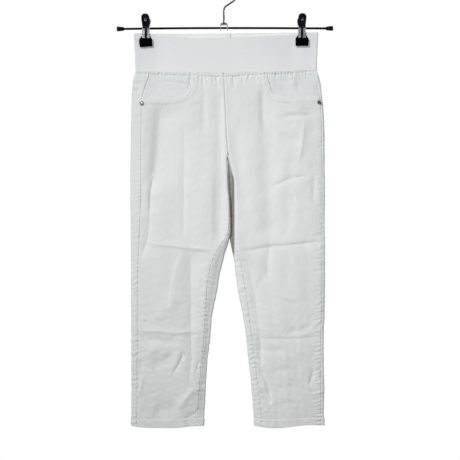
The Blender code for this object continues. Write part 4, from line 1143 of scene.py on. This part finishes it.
# ---------------------------------------------------------------- materials
# A Mix node has sockets of the same names for each kind of data: these are the ones for colours
MIX_FACTOR = 0
MIX_UNDER = 6
MIX_OVER = 7
MIX_COLOUR = 2


class Nodes:
    """A short way to write a material's nodes."""

    def __init__(self, name, colour, roughness, metallic=0.0):
        self.made = bpy.data.materials.new(name)
        self.made.use_nodes = True
        self.tree = self.made.node_tree
        self.shader = self.tree.nodes["Principled BSDF"]
        self.shader.inputs["Base Color"].default_value = (*colour, 1.0)
        self.shader.inputs["Roughness"].default_value = roughness
        self.shader.inputs["Metallic"].default_value = metallic
        self.place = self.add("ShaderNodeTexCoord").outputs["Object"]

    def add(self, kind, **values):
        node = self.tree.nodes.new(kind)
        for name, value in values.items():
            setattr(node, name, value)
        return node

    def link(self, start, end):
        self.tree.links.new(start, end)

    def texture(self, kind, mapped, amount, settings, **values):
        """A texture's grey; the mapping's socket of the given name takes the amount."""
        mapping = self.add("ShaderNodeMapping")
        mapping.inputs[mapped].default_value = amount
        self.link(self.place, mapping.inputs["Vector"])
        node = self.add(kind, **values)
        for name, level in settings.items():
            node.inputs[name].default_value = level
        self.link(mapping.outputs["Vector"], node.inputs["Vector"])
        return node.outputs["Fac"]

    def noise(self, scale, detail, stretch=(1.0, 1.0, 1.0)):
        return self.texture("ShaderNodeTexNoise", "Scale", stretch, {"Scale": scale, "Detail": detail})

    def wave(self, scale, turn, distortion):
        return self.texture("ShaderNodeTexWave", "Rotation", turn, {"Scale": scale, "Distortion": distortion},
                            bands_direction="X")

    def maths(self, operation, first, second):
        node = self.add("ShaderNodeMath", operation=operation)
        for socket, value in zip(node.inputs, (first, second)):
            if isinstance(value, float):
                socket.default_value = value
            else:
                self.link(value, socket)
        return node.outputs["Value"]

    def ramp(self, value, low, high, target):
        """Blends between two colours, or two greys, by a value from 0 to 1."""
        node = self.add("ShaderNodeValToRGB")
        for element, level in zip(node.color_ramp.elements, (low, high)):
            element.color = (*level, 1.0) if hasattr(level, "__len__") else (level, level, level, 1.0)
        node.color_ramp.elements[0].position = 0.3
        node.color_ramp.elements[1].position = 0.7
        self.link(value, node.inputs["Fac"])
        self.link(node.outputs["Color"], self.shader.inputs[target])

    def band(self, value, start, end):
        """0 up to start, 1 from end on, evenly between; start may be above end."""
        node = self.add("ShaderNodeMapRange")
        for name, level in (("From Min", start), ("From Max", end)):
            node.inputs[name].default_value = level * MM
        self.link(value, node.inputs["Value"])
        return node.outputs["Result"]

    def paint_shade(self, tone, share, ramps):
        """Paints shade into the colour: blends a tone in, by a share, where all the ramps along X, Y or Z are
        up.
        """
        split = self.add("ShaderNodeSeparateXYZ")
        self.link(self.place, split.inputs["Vector"])
        amount = share
        for axis, start, end in ramps:
            amount = self.maths("MULTIPLY", self.band(split.outputs[axis], start, end), amount)
        blend = self.add("ShaderNodeMix", data_type="RGBA")
        socket = self.shader.inputs["Base Color"]
        self.link(amount, blend.inputs[MIX_FACTOR])
        self.link(socket.links[0].from_socket, blend.inputs[MIX_UNDER])
        blend.inputs[MIX_OVER].default_value = (*tone, 1.0)
        self.link(blend.outputs[MIX_COLOUR], socket)

    def bump(self, height, distance, strength=1.0):
        node = self.add("ShaderNodeBump")
        node.inputs["Distance"].default_value = distance * MM
        node.inputs["Strength"].default_value = strength
        self.link(height, node.inputs["Height"])
        self.link(node.outputs["Normal"], self.shader.inputs["Normal"])


def cloth_material(name, light, dark, threads, painted_shades=()):
    """White cloth: slow variations of tone, painted shade blended in some places, and a weave made of waves.
    """
    nodes = Nodes(name, light, 0.88)
    nodes.shader.inputs["Sheen Weight"].default_value = 0.15
    nodes.shader.inputs["Sheen Roughness"].default_value = 0.5
    nodes.shader.inputs["Specular IOR Level"].default_value = 0.25
    nodes.ramp(nodes.noise(14.0, 5.0), dark, light, "Base Color")
    for tone, share, ramps in painted_shades:
        nodes.paint_shade(tone, share, ramps)
    weave = None
    for scale, turn, distortion, share in threads:
        one = nodes.maths("MULTIPLY", nodes.wave(scale, turn, distortion), share)
        weave = one if weave is None else nodes.maths("ADD", weave, one)
    weave = nodes.maths("ADD", weave, nodes.maths("MULTIPLY", nodes.noise(900.0, 2.0), 0.5))
    nodes.bump(weave, 0.05, 0.5)
    return nodes.made


def plain_material(name, colour, roughness, grain, depth, metallic=0.0, stretch=(1.0, 1.0, 1.0),
                   gloss=0.2, ior=1.5):
    """Metal, plastic, rubber or thread, with a fine grain in its surface and its gloss."""
    nodes = Nodes(name, colour, roughness, metallic)
    nodes.shader.inputs["Specular IOR Level"].default_value = gloss
    nodes.shader.inputs["IOR"].default_value = ior
    grains = nodes.noise(grain, 4.0, stretch)
    nodes.ramp(grains, max(roughness - 0.08, 0.0), min(roughness + 0.1, 1.0), "Roughness")
    nodes.bump(grains, depth, 0.6)
    return nodes.made


DIAGONAL = (0.0, math.radians(27.0), 0.0)
UPRIGHT = (0.0, 0.0, 0.0)
LEVEL = (0.0, math.radians(90.0), 0.0)
DRAWN = (1.0, 1.0, 0.1)  # a grain drawn out upward
# threads of each weave: number of bands, way they run, distortion and share
TWILL = [(520.0, DIAGONAL, 1.0, 1.0)]
RIBS = [(95.0, LEVEL, 0.4, 1.0), (260.0, UPRIGHT, 0.6, 0.7)]
PLAIN = [(420.0, LEVEL, 0.3, 1.0), (420.0, UPRIGHT, 0.3, 1.0)]

# Shade painted into a cloth's colour in a place: the tone, its share, and ramps along an axis from none to
# all of it
# painted shade on the turned cloth beside the wearer's right inseam, where it shows on the front
INSEAM_PAINTED_SHADE = ((0.0, 0.0, 0.0), 0.1, [("X", -78.0, -70.0), ("X", 6.0, 4.0), ("Y", 2.0, -1.0),
                                ("Z", -420.0, -520.0), ("Z", -897.0, -884.0)])
# painted shade, dark brown, in the narrow gap between the legs, below the crotch
LEG_GAP_PAINTED_SHADE = ((0.15, 0.13, 0.1), 0.85, [("X", 9.0, 17.0), ("X", 22.5, 20.0), ("Y", -13.0, -10.0), ("Y", 11.0, 6.0),
                                  ("Z", -362.0, -376.0), ("Z", -580.0, -560.0)])

# name, light and dark tones, threads, and shade painted in some places
CLOTHS = {
    "twill": ("white cotton twill", (0.80, 0.815, 0.812), (0.775, 0.79, 0.787), TWILL, (LEG_GAP_PAINTED_SHADE,)),
    "back_twill": ("white cotton twill, back", (0.80, 0.812, 0.812), (0.775, 0.787, 0.787), TWILL,
                   (INSEAM_PAINTED_SHADE, LEG_GAP_PAINTED_SHADE)),
    # the pocket facing's cloth: a darker copy of the twill, painted shade of its recess
    "facing_painted_shade_twill": ("white cotton twill, inner, painted shade", (0.782, 0.802, 0.803), (0.757, 0.777, 0.778), TWILL),
    "rib": ("white ribbed elastic", (0.862, 0.866, 0.89), (0.84, 0.844, 0.87), RIBS),
    # the band's inside: a lighter copy of the elastic, painted light
    "rib_inside_painted_light": ("white ribbed elastic, inside, painted light", (0.95, 0.955, 0.955), (0.93, 0.94, 0.94), RIBS),
    "tape": ("white tape", (0.9, 0.905, 0.905), (0.87, 0.88, 0.88), PLAIN),
}


def make_materials():
    """Every finish, by a short name."""
    made = {key: cloth_material(*values) for key, values in CLOTHS.items()}
    # thread a little darker than the cloth: painted shade of the stitch holes
    made["thread"] = plain_material("white thread, painted stitch shade", (0.75, 0.765, 0.76), 0.7, 1500.0, 0.05)
    made["rivet"] = plain_material("plated rivet", (0.2, 0.19, 0.18), 0.28, 500.0, 0.01, metallic=1.0)
    made["steel"] = plain_material("bright steel", (0.68, 0.68, 0.76), 0.3, 300.0, 0.01, 1.0, DRAWN)
    made["wire"] = plain_material("drawn wire", (0.12, 0.12, 0.125), 0.3, 300.0, 0.01, 1.0, DRAWN)
    made["black_metal"] = plain_material("black painted steel", (0.003, 0.003, 0.003), 0.5, 700.0, 0.01,
                                         gloss=0.3, ior=1.08)
    made["black_plastic"] = plain_material("black plastic", (0.003, 0.003, 0.004), 0.4, 600.0, 0.02,
                                           gloss=0.4, ior=1.25)
    made["rubber"] = plain_material("black rubber", (0.002, 0.002, 0.002), 0.7, 900.0, 0.03,
                                    gloss=0.3, ior=1.08)
    return made


# ---------------------------------------------------------------- camera, light and stage
CAMERA_PLACE = (0.0124, -1.6, -0.5155)
FRAME_WIDTH = 0.936      # width of what the camera sees at the hanger's plane
SENSOR = 36.0
FLOOR_Z = -1.35
FLOOR_RADIUS = 0.8
FLOOR_SIDES = 96
DOME_RADIUS = 6.0
AMBIENT = 0.23
# place, aim, cone in degrees, power and size of each lamp, metres and watts
LAMPS = {
    "key": ((-2.4, -3.4, 2.4), (0.3, 0.0, -0.74), 22.6, 672.0, 0.3),
    "fill": ((0.0, -3.0, -0.8), (0.05, 0.0, -0.36), 28.0, 98.0, 0.4),
    "back": ((2.4, 3.2, 1.2), (-0.1, 0.0, -0.6), 26.0, 520.0, 0.3),
}


def make_camera():
    """A level camera in front."""
    data = bpy.data.cameras.new("camera")
    data.sensor_width = SENSOR
    data.lens = SENSOR * -CAMERA_PLACE[1] / FRAME_WIDTH
    camera = place_object("camera", data)
    camera.location = CAMERA_PLACE
    camera.rotation_euler = (math.radians(90.0), 0.0, 0.0)
    bpy.context.scene.camera = camera


def lamp(name, place, aim, cone, power, size):
    """A round soft lamp that fades towards the edge of its cone."""
    data = bpy.data.lights.new(name, "SPOT")
    data.spot_size = math.radians(cone)
    data.spot_blend = 1.0
    data.shadow_soft_size = size
    data.energy = power
    light = place_object(name, data)
    light.location = place
    light.rotation_euler = (Vector(aim) - Vector(place)).to_track_quat("-Z", "Y").to_euler()


def stage_piece(name, mesh, colour, glow=None):
    """A piece of the stage, matte, or glowing white."""
    made = bpy.data.materials.new(name)
    made.use_nodes = True
    shader = made.node_tree.nodes["Principled BSDF"]
    shader.inputs["Base Color"].default_value = (*colour, 1.0)
    shader.inputs["Roughness"].default_value = 0.9
    if glow:
        shader.inputs["Emission Color"].default_value = (1.0, 1.0, 1.0, 1.0)
        shader.inputs["Emission Strength"].default_value = glow
    mesh.materials.append(made)
    piece = place_object(name, mesh)
    return piece


def make_floor():
    """A round floor under the part."""
    mesh = bpy.data.meshes.new("floor")
    turns = [2 * math.pi * k / FLOOR_SIDES for k in range(FLOOR_SIDES)]
    points = [(FLOOR_RADIUS * math.cos(turn), FLOOR_RADIUS * math.sin(turn), FLOOR_Z) for turn in turns]
    mesh.from_pydata(points, [], [tuple(range(FLOOR_SIDES))])
    stage_piece("floor", mesh, (0.85, 0.85, 0.85))


def make_dome():
    """White all round, which only the camera sees."""
    shape = bmesh.new()
    bmesh.ops.create_uvsphere(shape, u_segments=48, v_segments=24, radius=DOME_RADIUS)
    mesh = bpy.data.meshes.new("dome")
    shape.to_mesh(mesh)
    shape.free()
    dome = stage_piece("dome", mesh, (0.0, 0.0, 0.0), glow=1.0)
    dome.visible_diffuse = False
    dome.visible_glossy = False
    dome.visible_shadow = False


def make_light():
    """Even light from everywhere, and soft lamps before and behind."""
    world = bpy.data.worlds.new("even light")
    world.use_nodes = True
    background = world.node_tree.nodes["Background"]
    background.inputs["Color"].default_value = (0.99, 1.0, 1.0, 1.0)
    background.inputs["Strength"].default_value = AMBIENT
    bpy.context.scene.world = world
    for name, values in LAMPS.items():
        lamp(name, *values)
    bpy.context.scene.view_settings.view_transform = "Standard"


MATERIALS = make_materials()
make_camera()
make_floor()
make_dome()
make_light()
make_waistband()
for half in LEGS:
    for face_name in PANEL_MESH:
        make_panel(half, face_name)
for half in LEGS:
    make_pocket_facing(half)
make_topstitching()
make_bartacks()
for half in LEGS:
    make_rivet(half)
make_hanger()
